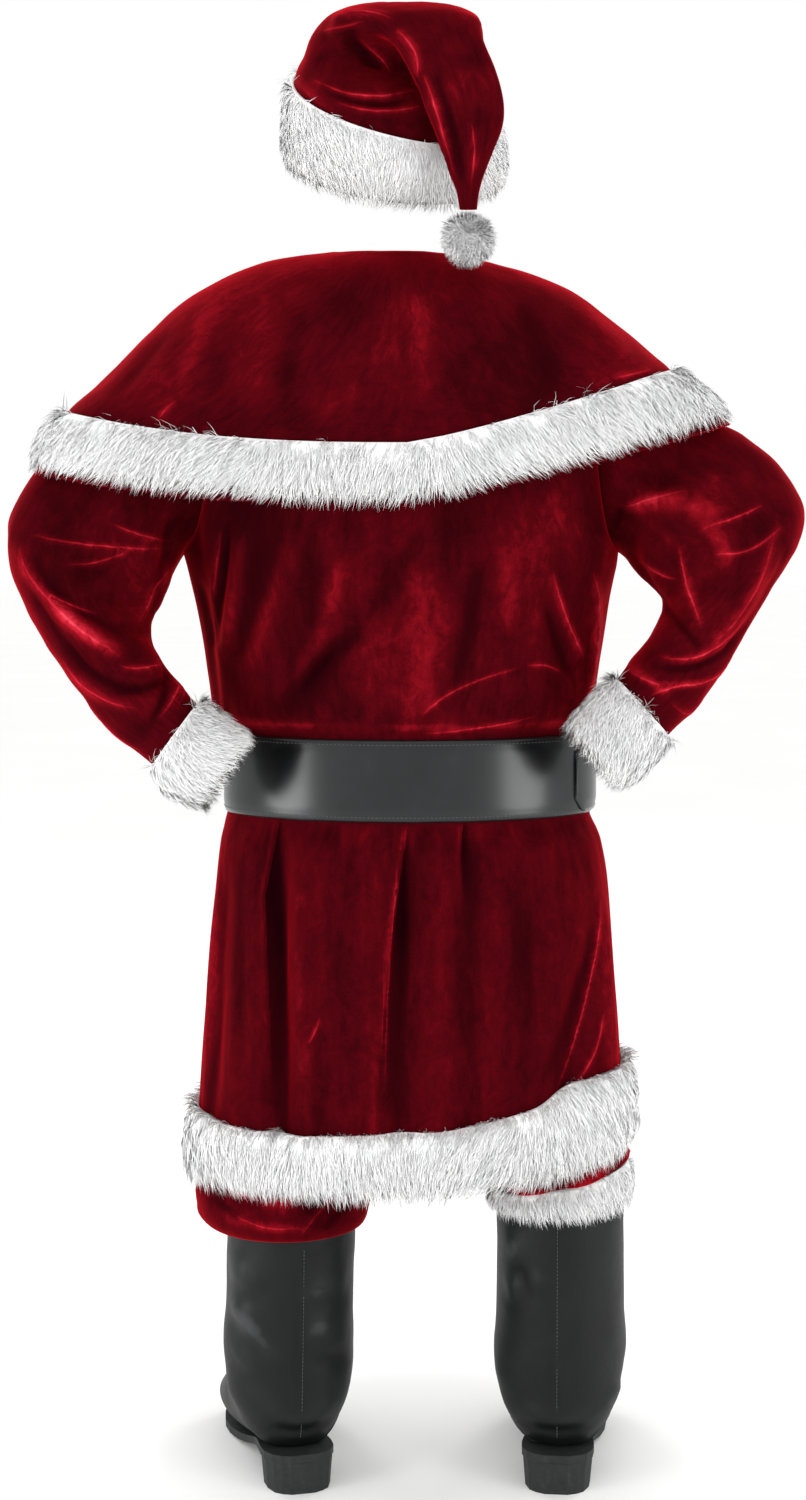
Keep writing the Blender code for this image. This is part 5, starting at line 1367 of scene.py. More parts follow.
def stitch_object():
    """A stitch one unit long: a low strand that dips into the seam at both ends."""
    rings = ((-0.5, -0.10, 0.06), (-0.25, 0.06, 0.13), (0.25, 0.06, 0.13), (0.5, -0.10, 0.06))
    turns = [2 * math.pi * k / STITCH_SIDES for k in range(STITCH_SIDES)]
    points = [
        (x, radius * math.cos(turn), z + radius * math.sin(turn)) for x, z, radius in rings for turn in turns
    ]
    around = [range(i * STITCH_SIDES, (i + 1) * STITCH_SIDES) for i in range(len(rings))]
    faces = []
    for ring, onward in zip(around, around[1:]):
        for k in range(STITCH_SIDES):
            faces.append((ring[k], ring[k - STITCH_SIDES + 1], onward[k - STITCH_SIDES + 1], onward[k]))
    faces += [tuple(reversed(around[0])), tuple(around[-1])]
    return pattern_object("seam_stitch", points, faces)


# ---------------------------------------------------------------- fur


def fur_piece(name, obj, pile, comb, look):
    """Covers a body with blades. pile marks its faces that carry fur, and comb the way that it falls."""
    mesh = obj.data
    marks = mesh.attributes.new("pile", "BOOLEAN", "FACE")
    marks.data.foreach_set("value", pile)
    ways = mesh.attributes.new("comb", "FLOAT_VECTOR", "POINT")
    ways.data.foreach_set("vector", np.asarray(comb, np.float32).ravel())
    blade = blade_object(suit_settings().fur_width)
    values = {
        "Density": look.density * suit_settings().fur_density,
        "Length": look.length,
        "Rise": look.rise,
        "Fall": look.fall,
        "Scatter": look.scatter,
        "Lock size": FUR_LOCKS,
        "Lock lean": look.lean,
        "Seed": look.seed,
        "Blade": blade,
        "Finish": material_for("pile_fur"),
    }
    grown(obj, tree_named("Fur pile", fur_tree), values)
    bpy.data.objects.remove(blade, do_unlink=True)
    return finished(obj, name)


def across_band(lines, outs, share):
    """Points and outward ways along the band, that share of the way across it."""
    last = len(lines) - 1
    i = min(max(math.floor(share * last), 0), last - 1)
    part = share * last - i
    return lines[i] * (1 - part) + lines[i + 1] * part, unit(outs[i] * (1 - part) + outs[i + 1] * part)


def fur_band(name, lines, outs, closed, look, comb=None):
    """A full-bodied strip of fur on lines [line, point] that run side by side along it."""
    lower_first = look.falls_to == 0
    insets = (look.low_inset, look.high_inset) if lower_first else (look.high_inset, look.low_inset)
    start, end = insets[0], 1 - insets[1]
    shares = np.linspace(start, end, FUR_SIDES)
    section = []
    for k, share in enumerate(shares):
        base, out = across_band(lines, outs, share)
        bulge = 1 - abs(2 * k / (FUR_SIDES - 1) - 1) ** 3 * FUR_EDGE_DROP
        uneven = 1 + FUR_UNEVEN * ripples(base, FUR_LUMP, look.seed)
        section.append(base + out * (LIE + bulge * (look.thickness * look.body) * uneven)[:, None])
    rims = []
    for share in (end, start):
        base, out = across_band(lines, outs, share)
        rims.append(out)
        section.append(base + out * LIE)
    grid = np.stack(section)
    sides, count = grid.shape[:2]
    faces, pile = [], []
    # A band whose topmost fibres stand up has none on its upper wall.
    rim = 0 if lower_first else 1
    upper_wall = FUR_SIDES + 1 if rim else FUR_SIDES - 1
    bare = (FUR_SIDES, upper_wall) if look.ruff else (FUR_SIDES,)
    for i in range(sides):
        for j in range(count if closed else count - 1):
            k, m = (j + 1) % count, (i + 1) % sides
            faces.append([i * count + j, i * count + k, m * count + k, m * count + j])
            pile.append(i not in bare)
    if not closed:
        ends = [i * count for i in range(sides)]
        faces += [ends, [first + count - 1 for first in reversed(ends)]]
        pile += [True, True]
    mesh = bpy.data.meshes.new(name)
    mesh.from_pydata(grid.reshape(-1, 3).tolist(), [], faces)
    obj = settled(name + "_pile", mesh, material_for("pile_fur"))
    if comb is None:
        comb = unit(lines[0] - lines[-1]) if lower_first else unit(lines[-1] - lines[0])
    comb = np.broadcast_to(comb, grid.shape)
    beside = unit(np.gradient(grid, axis=1))
    swirl = FUR_SIDEWAYS * ripples(grid, FUR_SWIRL, look.seed + 40)[..., None]
    laid = 1 - FUR_UPRIGHT * np.clip(ripples(grid, FUR_SWIRL, look.seed + 41), 0, 1)[..., None]
    # The topmost fibres stand up in uneven tufts, and those below them turn down.
    below = np.abs(np.append(shares, [end, start]) - (end if lower_first else start)) / abs(end - start)
    tufts = np.clip(TUFT_LEVEL + TUFT_SWING * ripples(grid, FUR_TUFT, look.seed + 42), 0, 1)[..., None]
    up = (1 - smooth_step(below, 0.0, FUR_TOP))[:, None, None]
    ways = unit(comb + beside * swirl) * laid * (1 - up * (0.4 + 0.6 * look.ruff + look.ruff * tufts))
    if not look.ruff:
        # Those on the upper wall lie outward over its edge.
        ways[FUR_SIDES + rim] = rims[rim] * RIM_LAID
    return fur_piece(name, obj, pile, ways.reshape(-1, 3), look)


# ---------------------------------------------------------------- coat


def fold_depth(angle, height):
    """How far the folds move the coat's cloth out at these places."""
    depth = np.zeros(np.broadcast(angle, height).shape)
    for fold in COAT_FOLDS:
        share = (height - fold.low) / (fold.high - fold.low)
        centre = fold.angle_low + (fold.angle_high - fold.angle_low) * share
        inside = np.clip(1 - np.abs(2 * share - 1) ** 4, 0, 1)
        depth = depth + fold.depth * inside * bell(angle, centre, fold.width)
    return depth


def coat_at(angle, height):
    """Points of the coat's outside below the underarms, at angles in degrees from the left by the back."""
    angle, height = np.broadcast_arrays(np.asarray(angle, float), np.asarray(height, float))
    knots = column(COAT, "height")
    reach = {name: along(knots, column(COAT, name), height) for name in ("left", "right", "back", "front")}
    square = along(knots, column(COAT, "square"), height)
    across = squared(np.cos(np.radians(angle)), square)
    deep = squared(np.sin(np.radians(angle)), square)
    wide = np.where(across > 0, reach["left"], reach["right"])
    thick = np.where(deep > 0, reach["back"], reach["front"])
    x, y = across * wide, deep * thick
    slope = unit(np.stack([x / wide**2, y / thick**2], axis=-1))
    out = fold_depth(angle, height)
    return stacked(x + slope[..., 0] * out, y + slope[..., 1] * out, height)


def coat_out(angle, height):
    """Outward normals of the coat at the same places."""
    across = coat_at(angle + BESIDE, height) - coat_at(angle - BESIDE, height)
    up = coat_at(angle, height + ABOVE) - coat_at(angle, height - ABOVE)
    return unit(np.cross(across, up))


def hem_line(angle, name):
    return along(column(HEM, "angle"), column(HEM, name), np.mod(angle, 360.0))


def yoke_rows(angles, back):
    """The rows from the underarm to the shoulder seam, over the back or over the front."""
    table = resampled(YOKE, YOKE_STEPS + 1)
    edge_y = table["edge_back"] if back else -table["edge_front"]
    middle_y = table["back"] if back else -table["front"]
    middle_height = table["back_height"] if back else table["front_height"]
    across = squared(np.cos(np.radians(angles)), YOKE_SQUARE)
    deep = np.abs(squared(np.sin(np.radians(angles)), YOKE_SQUARE))
    underarm = COAT[-1]
    rows = []
    for i in range(1, YOKE_STEPS + 1):
        share = i / YOKE_STEPS
        uneven = np.where(across > 0, underarm.left, underarm.right) / YOKE[0].edge_x
        wide = table["edge_x"][i] * (uneven * (1 - share) + share)
        x = across * wide
        y = edge_y[i] + (middle_y[i] - edge_y[i]) * deep
        edge_height = table["edge_height"][i]
        height = edge_height + (middle_height[i] - edge_height) * deep**YOKE_DIP
        # The last row follows the shoulder seam and then the neck.
        into_neck = np.clip(1 - (x / NECK_HALF_WIDTH) ** 2, 0, None)
        slope = (YOKE[-1].edge_height - NECK_SIDE_HEIGHT) / (YOKE[-1].edge_x - NECK_HALF_WIDTH)
        seam_y = middle_y[-1] * np.sqrt(into_neck)
        on_shoulder = NECK_SIDE_HEIGHT + slope * (np.abs(x) - NECK_HALF_WIDTH)
        on_neck = NECK_SIDE_HEIGHT + (middle_height[-1] - NECK_SIDE_HEIGHT) * into_neck
        seam_height = np.where(np.abs(x) > NECK_HALF_WIDTH, on_shoulder, on_neck)
        near = share**YOKE_TO_SEAM
        y = y * (1 - near) + seam_y * near
        height = height * (1 - near) + seam_height * near
        rows.append(stacked(x, y, height + SHOULDER_TILT * x * share))
    return np.stack(rows)


def coat_grids():
    """The back and the two fronts, from the hem up to the shoulder seam, sharing their ends."""
    grids = {}
    for name, (first, last, count) in COAT_PANELS.items():
        angles = np.linspace(first, last, count)
        bottom = hem_line(angles, "bottom") + HEM_TURN
        share = np.linspace(0, 1, COAT_ROWS)[:, None]
        lower = coat_at(angles[None, :], bottom + (UNDERARM_HEIGHT - bottom) * share)
        grids[name] = np.concatenate([lower, yoke_rows(angles, name == "coat_back")])
    return grids


def sleeve_grid(side, grids):
    """Rings down the sleeve. The first is the armhole, taken from the edges of the coat's panels."""
    sign = 1 if side == "left" else -1
    front = grids["coat_front_" + side]
    back_edge = grids["coat_back"][-YOKE_STEPS - 1 :, 0 if side == "left" else -1]
    front_edge = front[-YOKE_STEPS - 1 :, -1 if side == "left" else 0]
    rings = [np.concatenate([back_edge, front_edge[-2:0:-1]])]
    # The ring runs from the underarm by the back to the top, then down the front.
    turn = np.radians(180 - np.arange(2 * YOKE_STEPS) * 180 / YOKE_STEPS)
    for cut in LEFT_SLEEVE if side == "left" else RIGHT_SLEEVE:
        outer = np.array([sign * cut.outer_x, cut.middle_y, cut.outer_height - HOLD_HEIGHT])
        inner = np.array([sign * cut.inner_x, cut.middle_y, cut.inner_height - HOLD_HEIGHT])
        centre, half = (outer + inner) / 2, (outer - inner) / 2
        deep = np.array([0, cut.depth, 0])
        rings.append(centre + np.cos(turn)[:, None] * half + np.sin(turn)[:, None] * deep)
    return finer(np.stack(rings), SLEEVE_ROWS)


def coat_shapes():
    """The coat's panels and sleeves, with the normals that they share along their seams."""
    grids = coat_grids()
    grids["sleeve_left"] = sleeve_grid("left", grids)
    grids["sleeve_right"] = sleeve_grid("right", grids)
    normals = {}
    for name, grid in grids.items():
        if name.startswith("sleeve"):
            normals[name] = normals_of(grid, closed=True)
            continue
        normals[name] = normals_of(grid, closed=False, centre=grid * np.array([0, 0, 1]))
        # Along the shoulder seam the back and the fronts meet in one upright edge.
        on_seam = np.abs(grid[-1, :, 0]) > NECK_HALF_WIDTH
        normals[name][-1, on_seam, 1] = 0
        normals[name][-1] = unit(normals[name][-1])
    share_edges(grids, normals)
    return grids, normals


def off_seam(points, seam, reach):
    """0 on a seam, rising to 1 where the cloth is clear of it."""
    apart = np.min([np.linalg.norm(points - spot, axis=-1) for spot in seam[::2]], axis=0)
    return smooth_step(apart, 0, reach)


def coat_marks(name, grid, normal, armholes):
    """Creases and ripples of the coat: long ones down the skirt, shorter ones above the belt."""
    height = grid[..., 2] + HOLD_HEIGHT
    marks = both_sides(grid, normal, COAT_CREASES, COAT_FRONT_SHIFT)
    pleated = two_sides(pleat_marks(grid), pleat_marks(grid, -1), normal[..., 1] > 0, normal[..., 1] <= 0)
    lit = clearer(pleated, marks)
    marks[..., :2] += pleated[..., :2]
    marks[lit, 2:] = pleated[lit, 2:]
    # Folds are painted lighter on their ridges and darker in their troughs: painted light and shade.
    marks[..., 1] += fold_depth(np.linspace(*COAT_PANELS[name])[None, :], height) / FOLD_PAINTED_SHADING
    rippled(marks, grid, SKIRT_RIPPLES, 1 - smooth_step(height, *SKIRT_ENDS))
    rippled(marks, grid, BODICE_RIPPLES, smooth_step(height, *BODICE_STARTS))
    # Small gathers where the cloth is caught above and below the belt.
    rippled(marks, grid, WAIST_GATHERS, bell(height, 0.985, 0.022) + 0.7 * bell(height, 0.842, 0.014))
    # The cloth rolls over just above the belt, and its roll gets a painted highlight here and there.
    caught = np.clip(0.6 + 1.2 * ripples(grid, ROLL_PATCH, 8), 0, 1)
    marks[..., 1] += ROLL_PAINTED_HIGHLIGHT * caught * bell(height, ROLL_HEIGHT, ROLL_REACH)
    over_edge = smooth_step(height, BELT_BOTTOM - 0.006, BELT_BOTTOM)
    fade = 1 - (over_edge - smooth_step(height, BELT_TOP, BELT_TOP + 0.008))
    for seam in armholes:
        fade = fade * off_seam(grid, seam, ARMHOLE_CALM)
    if name != "coat_back":
        # Cloth lies flat under the fur strip down the middle of the front.
        fade = fade * smooth_step(np.abs(grid[..., 0]), *FRONT_FUR_REACH)
    return faded(marks, fade)


# ---------------------------------------------------------------- belt


def belt_band(angles, bottom, top, lift, rows):
    """A band of leatherette round the waist with rolled edges: grid, normals and how far it stands out."""
    share = np.linspace(0, 1, rows)[:, None]
    heights = bottom + (top - bottom) * share
    cloth = coat_at(angles[None, :], heights)
    out = level(coat_out(angles[None, :], heights))
    edge = np.minimum(share, 1 - share) * np.mean(top - bottom)
    rolled = -0.0016 * bell(edge, 0, 0.0022) - 0.0010 * bell(edge, BELT_STITCH_IN, 0.0016)
    padded = 0.0006 * smooth_step(edge, BELT_STITCH_IN, BELT_STITCH_IN + 0.010)
    marks = no_marks(out.shape[:2])
    marks[..., 0] = rolled + padded
    return cloth + out * (lift + LEATHER), out, marks


def stitch_row(name, path, out):
    """Stitches laid end to end on a line of points, which runs along a seam."""
    seam = unit(np.gradient(path, axis=0))
    mesh = bpy.data.meshes.new(name)
    mesh.from_pydata(path.tolist(), [], [])
    for label, values in (("seam", seam), ("out", out)):
        way = mesh.attributes.new(label, "FLOAT_VECTOR", "POINT")
        way.data.foreach_set("vector", np.asarray(values, np.float32).ravel())
    obj = bpy.data.objects.new(name, mesh)
    bpy.context.scene.collection.objects.link(obj)
    stitch = stitch_object()
    finish = material_for("nylon_thread")
    values = {"Length": suit_settings().stitch_length * STITCH_FILL, "Stitch": stitch, "Finish": finish}
    grown(obj, tree_named("Stitch row", stitch_tree), values)
    bpy.data.objects.remove(stitch, do_unlink=True)
    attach(obj, "root")
    return obj


def spaced(path, gap):
    """Points one gap apart along a line."""
    run = np.concatenate([[0], np.cumsum(np.linalg.norm(np.diff(path, axis=0), axis=-1))])
    at = np.arange(gap / 2, run[-1], gap)
    return np.stack([np.interp(at, run, path[:, k]) for k in range(3)], axis=-1)


# ---------------------------------------------------------------- cape and hat


def cape_grid():
    angles = 270 + (np.arange(CAPE_COLUMNS + 1) * 360 / CAPE_COLUMNS)
    turn = np.radians(angles)
    table = resampled(CAPE, CAPE_ROWS)
    rows = []
    for i in range(CAPE_ROWS):
        ring = {name: values[i] for name, values in table.items()}
        across = squared(np.cos(turn), ring["square"])
        deep = squared(np.sin(turn), ring["square"])
        x = across * np.where(across > 0, ring["left"], ring["right"])
        y = deep * np.where(deep > 0, ring["back"], ring["front"])
        side = np.where(across > 0, ring["left_h"], ring["right_h"])
        end = np.where(deep > 0, ring["back_h"], ring["front_h"])
        share = np.abs(across) ** np.where(across > 0, CAPE_RISE_LEFT, CAPE_RISE_RIGHT)
        rows.append(stacked(x, y, side * share + end * (1 - share)))
    return np.stack(rows)


def cape_shape():
    grid = cape_grid()
    closed = grid[:, :-1]
    normals = normals_of(closed, closed=True, centre=np.array([0.0, 0.0, 1.1 - HOLD_HEIGHT]))
    return grid, np.concatenate([normals, normals[:, :1]], axis=1)


def hat_grid():
    turn = np.arange(HAT_COLUMNS) * 2 * math.pi / HAT_COLUMNS
    table = resampled(HAT, HAT_ROWS)
    rows = []
    for i in range(HAT_ROWS):
        cut = {name: values[i] for name, values in table.items()}
        pitch, roll = math.radians(cut["pitch"]), math.radians(cut["roll"])
        across = squared(np.cos(turn), cut["square"]) * cut["half_width"]
        deep = squared(np.sin(turn), cut["square"]) * cut["half_depth"]
        height = cut["height"] + across * math.sin(roll) - deep * math.sin(pitch)
        rows.append(stacked(cut["x"] + across * math.cos(roll), cut["y"] + deep * math.cos(pitch), height))
    return np.stack(rows)


# ---------------------------------------------------------------- trousers


def leg_grid(side):
    sign = 1 if side == "left" else -1
    share = np.linspace(-1, 1, LEG_COLUMNS + 1)
    rows = []
    for cut in (LEFT_LEG if side == "left" else RIGHT_LEG) + HIP:
        turn = np.radians(share * cut.wrap)
        half = cut.half_width
        if half is None:
            half = (cut.reach - SEAM / 2) / (1 - math.cos(math.radians(cut.wrap)))
        x = cut.reach - half * (1 - np.cos(turn))
        y = cut.middle_y + np.where(turn > 0, cut.back, cut.front) * np.sin(turn)
        height = cut.height + cut.rise * (x - cut.reach + half)
        rows.append(stacked(sign * x, y, height))
    return finer(np.stack(rows), LEG_ROWS)


# ---------------------------------------------------------------- boots


def in_boot(place, sideways_by, back_by, height):
    """Points given in a boot's own directions, put where the boot stands."""
    turn = math.radians(place.turn)
    forward = np.array([math.sin(turn), -math.cos(turn), 0.0])
    sideways = np.array([math.cos(turn), math.sin(turn), 0.0])
    across, back, up = np.broadcast_arrays(sideways_by, back_by, height)
    origin = np.array([place.x, place.y, -HOLD_HEIGHT])
    upwards = np.array([0, 0, 1.0])
    return origin + across[..., None] * sideways - back[..., None] * forward + up[..., None] * upwards


def sole_top(back):
    table = resampled(SOLE, SOLE_ROWS)
    return np.interp(back, table["y"][::-1], table["top"][::-1])


def boot_rings(place, cuts, count):
    table = resampled(cuts, count)
    turn = np.arange(BOOT_COLUMNS) * 2 * math.pi / BOOT_COLUMNS
    pitch = np.radians(table["pitch"])[:, None]
    across = np.cos(turn)[None, :] * table["half_width"][:, None]
    deep = np.sin(turn)[None, :] * table["half_depth"][:, None]
    back = table["y"][:, None] - deep * np.cos(pitch)
    up = table["height"][:, None] - deep * np.sin(pitch)
    return in_boot(place, across, back, np.maximum(up, sole_top(back) + UPPER_ON_SOLE))


def boot_lift(grid, foot, seed):
    """Folds of the leatherette: a few wide ones round the ankle, and small crumples."""
    height = grid[..., 2] + HOLD_HEIGHT
    lift = 0.0030 * bell(height, 0.135, 0.05) * ripples(grid, (0.10, 0.10, 0.030), seed)
    lift += 0.0020 * ripples(grid, (0.055, 0.055, 0.120), seed + 1) * (0.4 if foot else 1.0)
    lift += 0.0008 * ripples(grid, (0.024, 0.024, 0.035), seed + 2)
    return lift


# ---------------------------------------------------------------- settings


class SuitSettings(bpy.types.PropertyGroup):
    """Sizes, amounts and the light power that a maker would change."""

    velvet_sheen: bpy.props.FloatProperty(
        name="Velvet sheen",
        description="How strongly the velvet's pile glows edge-on",
        default=0.68,
        min=0,
        max=1,
        subtype="FACTOR",
    )
    fur_density: bpy.props.FloatProperty(
        name="Fur density",
        description="Blades of fur against the usual number",
        default=1.0,
        min=0.1,
        max=1.2,
        subtype="FACTOR",
    )
    fur_width: bpy.props.FloatProperty(
        name="Fur blade width",
        description="Width of a lock of fibres at its root",
        default=0.0008,
        min=0.0005,
        max=0.004,
        unit="LENGTH",
    )
    stitch_length: bpy.props.FloatProperty(
        name="Stitch length",
        description="Pitch of the stitches in the belt and the boots",
        default=0.005,
        min=0.002,
        max=0.01,
        unit="LENGTH",
    )
    light_power: bpy.props.FloatProperty(
        name="Light power",
        description="Power of each large lamp",
        default=40.0,
        min=0,
        max=1000,
        unit="POWER",
    )


def suit_settings():
    return bpy.context.scene.santa_suit


def repaint(node, kind):
    """Gives a CAD node that shows as it is a finish of its own."""
    frame["nodes"][node].data.materials[0] = material_for(kind)


class SUIT_OT_coat(bpy.types.Operator):
    """Lay the coat's back and fronts in creased velvet"""

    bl_idname = "suit.coat"
    bl_label = "Coat"

    def execute(self, context):
        grids, normals = coat_shapes()
        armholes = (grids["sleeve_left"][0], grids["sleeve_right"][0])
        for name in COAT_PANELS:
            grid, normal = grids[name], normals[name]
            marks = coat_marks(name, grid, normal, armholes)
            seams = ("last_row", "columns")
            sheet_piece(name + "_velvet", name, "velvet", grid, normal, marks, seams=seams)
        return {"FINISHED"}


class SUIT_OT_sleeves(bpy.types.Operator):
    """Set both sleeves into the armholes"""

    bl_idname = "suit.sleeves"
    bl_label = "Sleeves"

    def execute(self, context):
        grids, normals = coat_shapes()
        # Cloth lies flat under the cuff, which takes the last sixth of the sleeve.
        flat_from = SLEEVE_ROWS - SLEEVE_ROWS // 6
        calm = 1 - smooth_step(np.arange(SLEEVE_ROWS), flat_from - CALM_ROWS, flat_from)[:, None]
        for side, creases in (("left", LEFT_SLEEVE_CREASES), ("right", RIGHT_SLEEVE_CREASES)):
            name = "sleeve_" + side
            grid, normal = grids[name], normals[name]
            marks = both_sides(grid, normal, creases, SLEEVE_FRONT_SHIFT)
            rippled(marks, grid, SLEEVE_RIPPLES)
            marks = faded(marks, off_seam(grid, grid[0], ARMHOLE_CALM) * calm)
            edges = {"closed": True, "seams": ("first_row",)}
            sheet_piece(name + "_velvet", name, "velvet", grid, normal, marks, **edges)
        return {"FINISHED"}


class SUIT_OT_cape(bpy.types.Operator):
    """Lay the short cape over the shoulders"""

    bl_idname = "suit.cape"
    bl_label = "Cape"

    def execute(self, context):
        grid, normal = cape_shape()
        marks = both_sides(grid, normal, CAPE_CREASES, CAPE_FRONT_SHIFT)
        rippled(marks, grid, CAPE_RIPPLES)
        # The cloth lies flat under the fur, which takes the last seventh of the rows.
        flat_from = CAPE_ROWS - CAPE_ROWS // 7
        calm = 1 - smooth_step(np.arange(CAPE_ROWS), flat_from - CALM_ROWS // 2, flat_from)
        marks = faded(marks, calm[:, None])
        sheet_piece("cape_velvet", "cape", "velvet", grid, normal, marks, seams=("columns",))
        repaint("cape_clasp", "plated_brass")
        return {"FINISHED"}


class SUIT_OT_hat(bpy.types.Operator):
    """Shape the hat's bag and its folded-over tail"""

    bl_idname = "suit.hat"
    bl_label = "Hat"

    def execute(self, context):
        grid = hat_grid()
        normal = normals_of(grid, closed=True)
        marks = both_sides(grid, normal, HAT_CREASES, HAT_FRONT_SHIFT)
        rippled(marks, grid, HAT_RIPPLES)
        # The cloth lies flat at its tip, and under the fur on the first step between the hat's cuts.
        band = 1 / (len(HAT) - 1)
        share = np.arange(HAT_ROWS) / (HAT_ROWS - 1)
        calm = smooth_step(share, band, band * 1.6) * (1 - smooth_step(share, 1 - 2 * band, 1 - band))
        marks = faded(marks, calm[:, None])
        edges = {"closed": True, "shut_end": True}
        sheet_piece("hat_velvet", "hat_crown", "velvet", grid, normal, marks, **edges)
        return {"FINISHED"}


class SUIT_OT_trousers(bpy.types.Operator):
    """Shape the trousers, which blouse over the boots"""

    bl_idname = "suit.trousers"
    bl_label = "Trousers"

    def execute(self, context):
        for side in ("left", "right"):
            grid = leg_grid(side)
            normal = normals_of(grid, closed=False, centre=grid.mean(axis=1, keepdims=True))
            normal[-1, :, 2] = 0
            normal[-1] = unit(normal[-1])
            way = 1 if side == "left" else -1
            back = smooth_step(normal[..., 1], *BACK_FACING)
            front_marks = crease_marks(grid, LEG_CREASES, way, LEG_FRONT_SHIFT)
            marks = two_sides(crease_marks(grid, LEG_CREASES, way), front_marks, back, 1 - back)
            height = grid[..., 2] + HOLD_HEIGHT
            gathered = (1 - smooth_step(height, *GATHERS_END)) * smooth_step(height, *GATHERS_START)
            rippled(marks, grid, LEG_GATHERS, gathered)
            name = "trouser_" + side
            sheet_piece(name + "_velvet", name, "velvet", grid, normal, marks)
        angles = np.linspace(0, 360, BELT_COLUMNS, endpoint=False)
        heights = np.linspace(HIP[-1].height + SEAM, WAISTBAND_TOP, WAISTBAND_ROWS)[:, None]
        out = level(coat_out(angles[None, :], heights))
        cloth = coat_at(angles[None, :], heights) - out * (CLOTH + LIE)
        flat = no_marks(cloth.shape[:2])
        name = "waistband_velvet"
        sheet_piece(name, "trouser_waistband", "velvet", cloth, out, flat, closed=True)
        return {"FINISHED"}


class SUIT_OT_boots(bpy.types.Operator):
    """Make the boots' uppers and their stitched back seams, and finish their soles and heels in rubber"""

    bl_idname = "suit.boots"
    bl_label = "Boots"

    def execute(self, context):
        for place in BOOTS:
            grids = {
                "boot_shaft_": boot_rings(place, SHAFT, SHAFT_ROWS),
                "boot_foot_": boot_rings(place, FOOT, FOOT_ROWS),
            }
            normals = {name: normals_of(grid, closed=True) for name, grid in grids.items()}
            share_edges(grids, normals)
            for part, grid in grids.items():
                foot = part == "boot_foot_"
                height = grid[..., 2] + HOLD_HEIGHT
                # The leatherette is smooth under the fur and along the sole.
                smooth = 1 - smooth_step(height, *SHAFT_FUR)
                lift = boot_lift(grid, foot, 71 if place.side == "left" else 75) * smooth
                lift *= smooth_step(height - 0.05, 0.0, 0.03) if foot else 1.0
                behind = smooth_step(normals[part][..., 1], -0.1, 0.3) * smooth_step(height, 0.062, 0.075)
                # The creases also paint the leatherette lighter on their crests and darker in their troughs:
                # painted sheen and shade.
                marks = faded(crease_marks(grid, BOOT_CREASES), behind * smooth)
                marks[..., 0] += lift
                sewn = "first_row" if foot else "last_row"
                edges = {"closed": True, "shut_end": foot, "seams": (sewn,)}
                name = part + place.side
                sheet_piece(name + "_upper", name, "boots", grid, normals[part], marks, **edges)
            self.back_seam(place, grids["boot_shaft_"], normals["boot_shaft_"])
            for part in ("boot_sole_", "boot_heel_"):
                repaint(part + place.side, "moulded_rubber")
        return {"FINISHED"}

    def back_seam(self, place, grid, normals):
        """The stitched seam up the back of the shaft, a quarter of the way round it."""
        behind = BOOT_COLUMNS // 4
        if normals[:, behind, 1].mean() < 0:
            behind = -behind
        inside = slice(SEAM_ENDS, -SEAM_ENDS)
        line, out = grid[inside, behind], normals[inside, behind]
        path = spaced(line + out * STITCH_OUT, suit_settings().stitch_length)
        out = np.tile(unit(normals[:, behind].mean(axis=0)), (len(path), 1))
        stitch_row("boot_seam_" + place.side, path, out)


class SUIT_OT_belt(bpy.types.Operator):
    """Wrap the belt round the waist with its free end, stitches and buckle"""

    bl_idname = "suit.belt"
    bl_label = "Belt"

    def execute(self, context):
        angles = np.linspace(0, 360, BELT_COLUMNS, endpoint=False)
        strap = belt_band(angles, BELT_BOTTOM, BELT_TOP, LIE, BELT_ROWS)
        sheet_piece("belt_strap", "belt", "belt", *strap, closed=True)
        round_it = np.linspace(0, 360, STITCH_LINE)
        for edge, height in (("lower", BELT_BOTTOM + BELT_STITCH_IN), ("upper", BELT_TOP - BELT_STITCH_IN)):
            away = level(coat_out(round_it, height))
            line = coat_at(round_it, height) + away * (LIE + LEATHER - STITCH_SUNK)
            path = spaced(line, suit_settings().stitch_length)
            ways = unit(path * np.array([1, 1, 0]) / np.array([WAIST.left**2, WAIST.back**2, 1]))
            stitch_row("belt_stitches_" + edge, path, ways)
        over = LIE + LEATHER + SEAM
        angles = np.linspace(BELT_END_FROM, BELT_END_TO, BELT_END_COLUMNS)
        # The free end narrows to a blunt point.
        from_tip = (angles - BELT_END_FROM) / BELT_POINT_DEGREES
        narrow = 1 - BELT_POINT_DROP * np.clip(1 - from_tip, 0, 1) ** BELT_POINT_CURVE
        middle = (BELT_BOTTOM + BELT_TOP) / 2
        half = (BELT_TOP - BELT_BOTTOM) / 2 - BELT_END_INSET
        tab = belt_band(angles, middle - half * narrow, middle + half * narrow, over, BELT_ROWS)
        sheet_piece("belt_tab", "belt_end", "belt", *tab)
        for name in ("belt_buckle", "belt_prong"):
            repaint(name, "plated_brass")
        return {"FINISHED"}


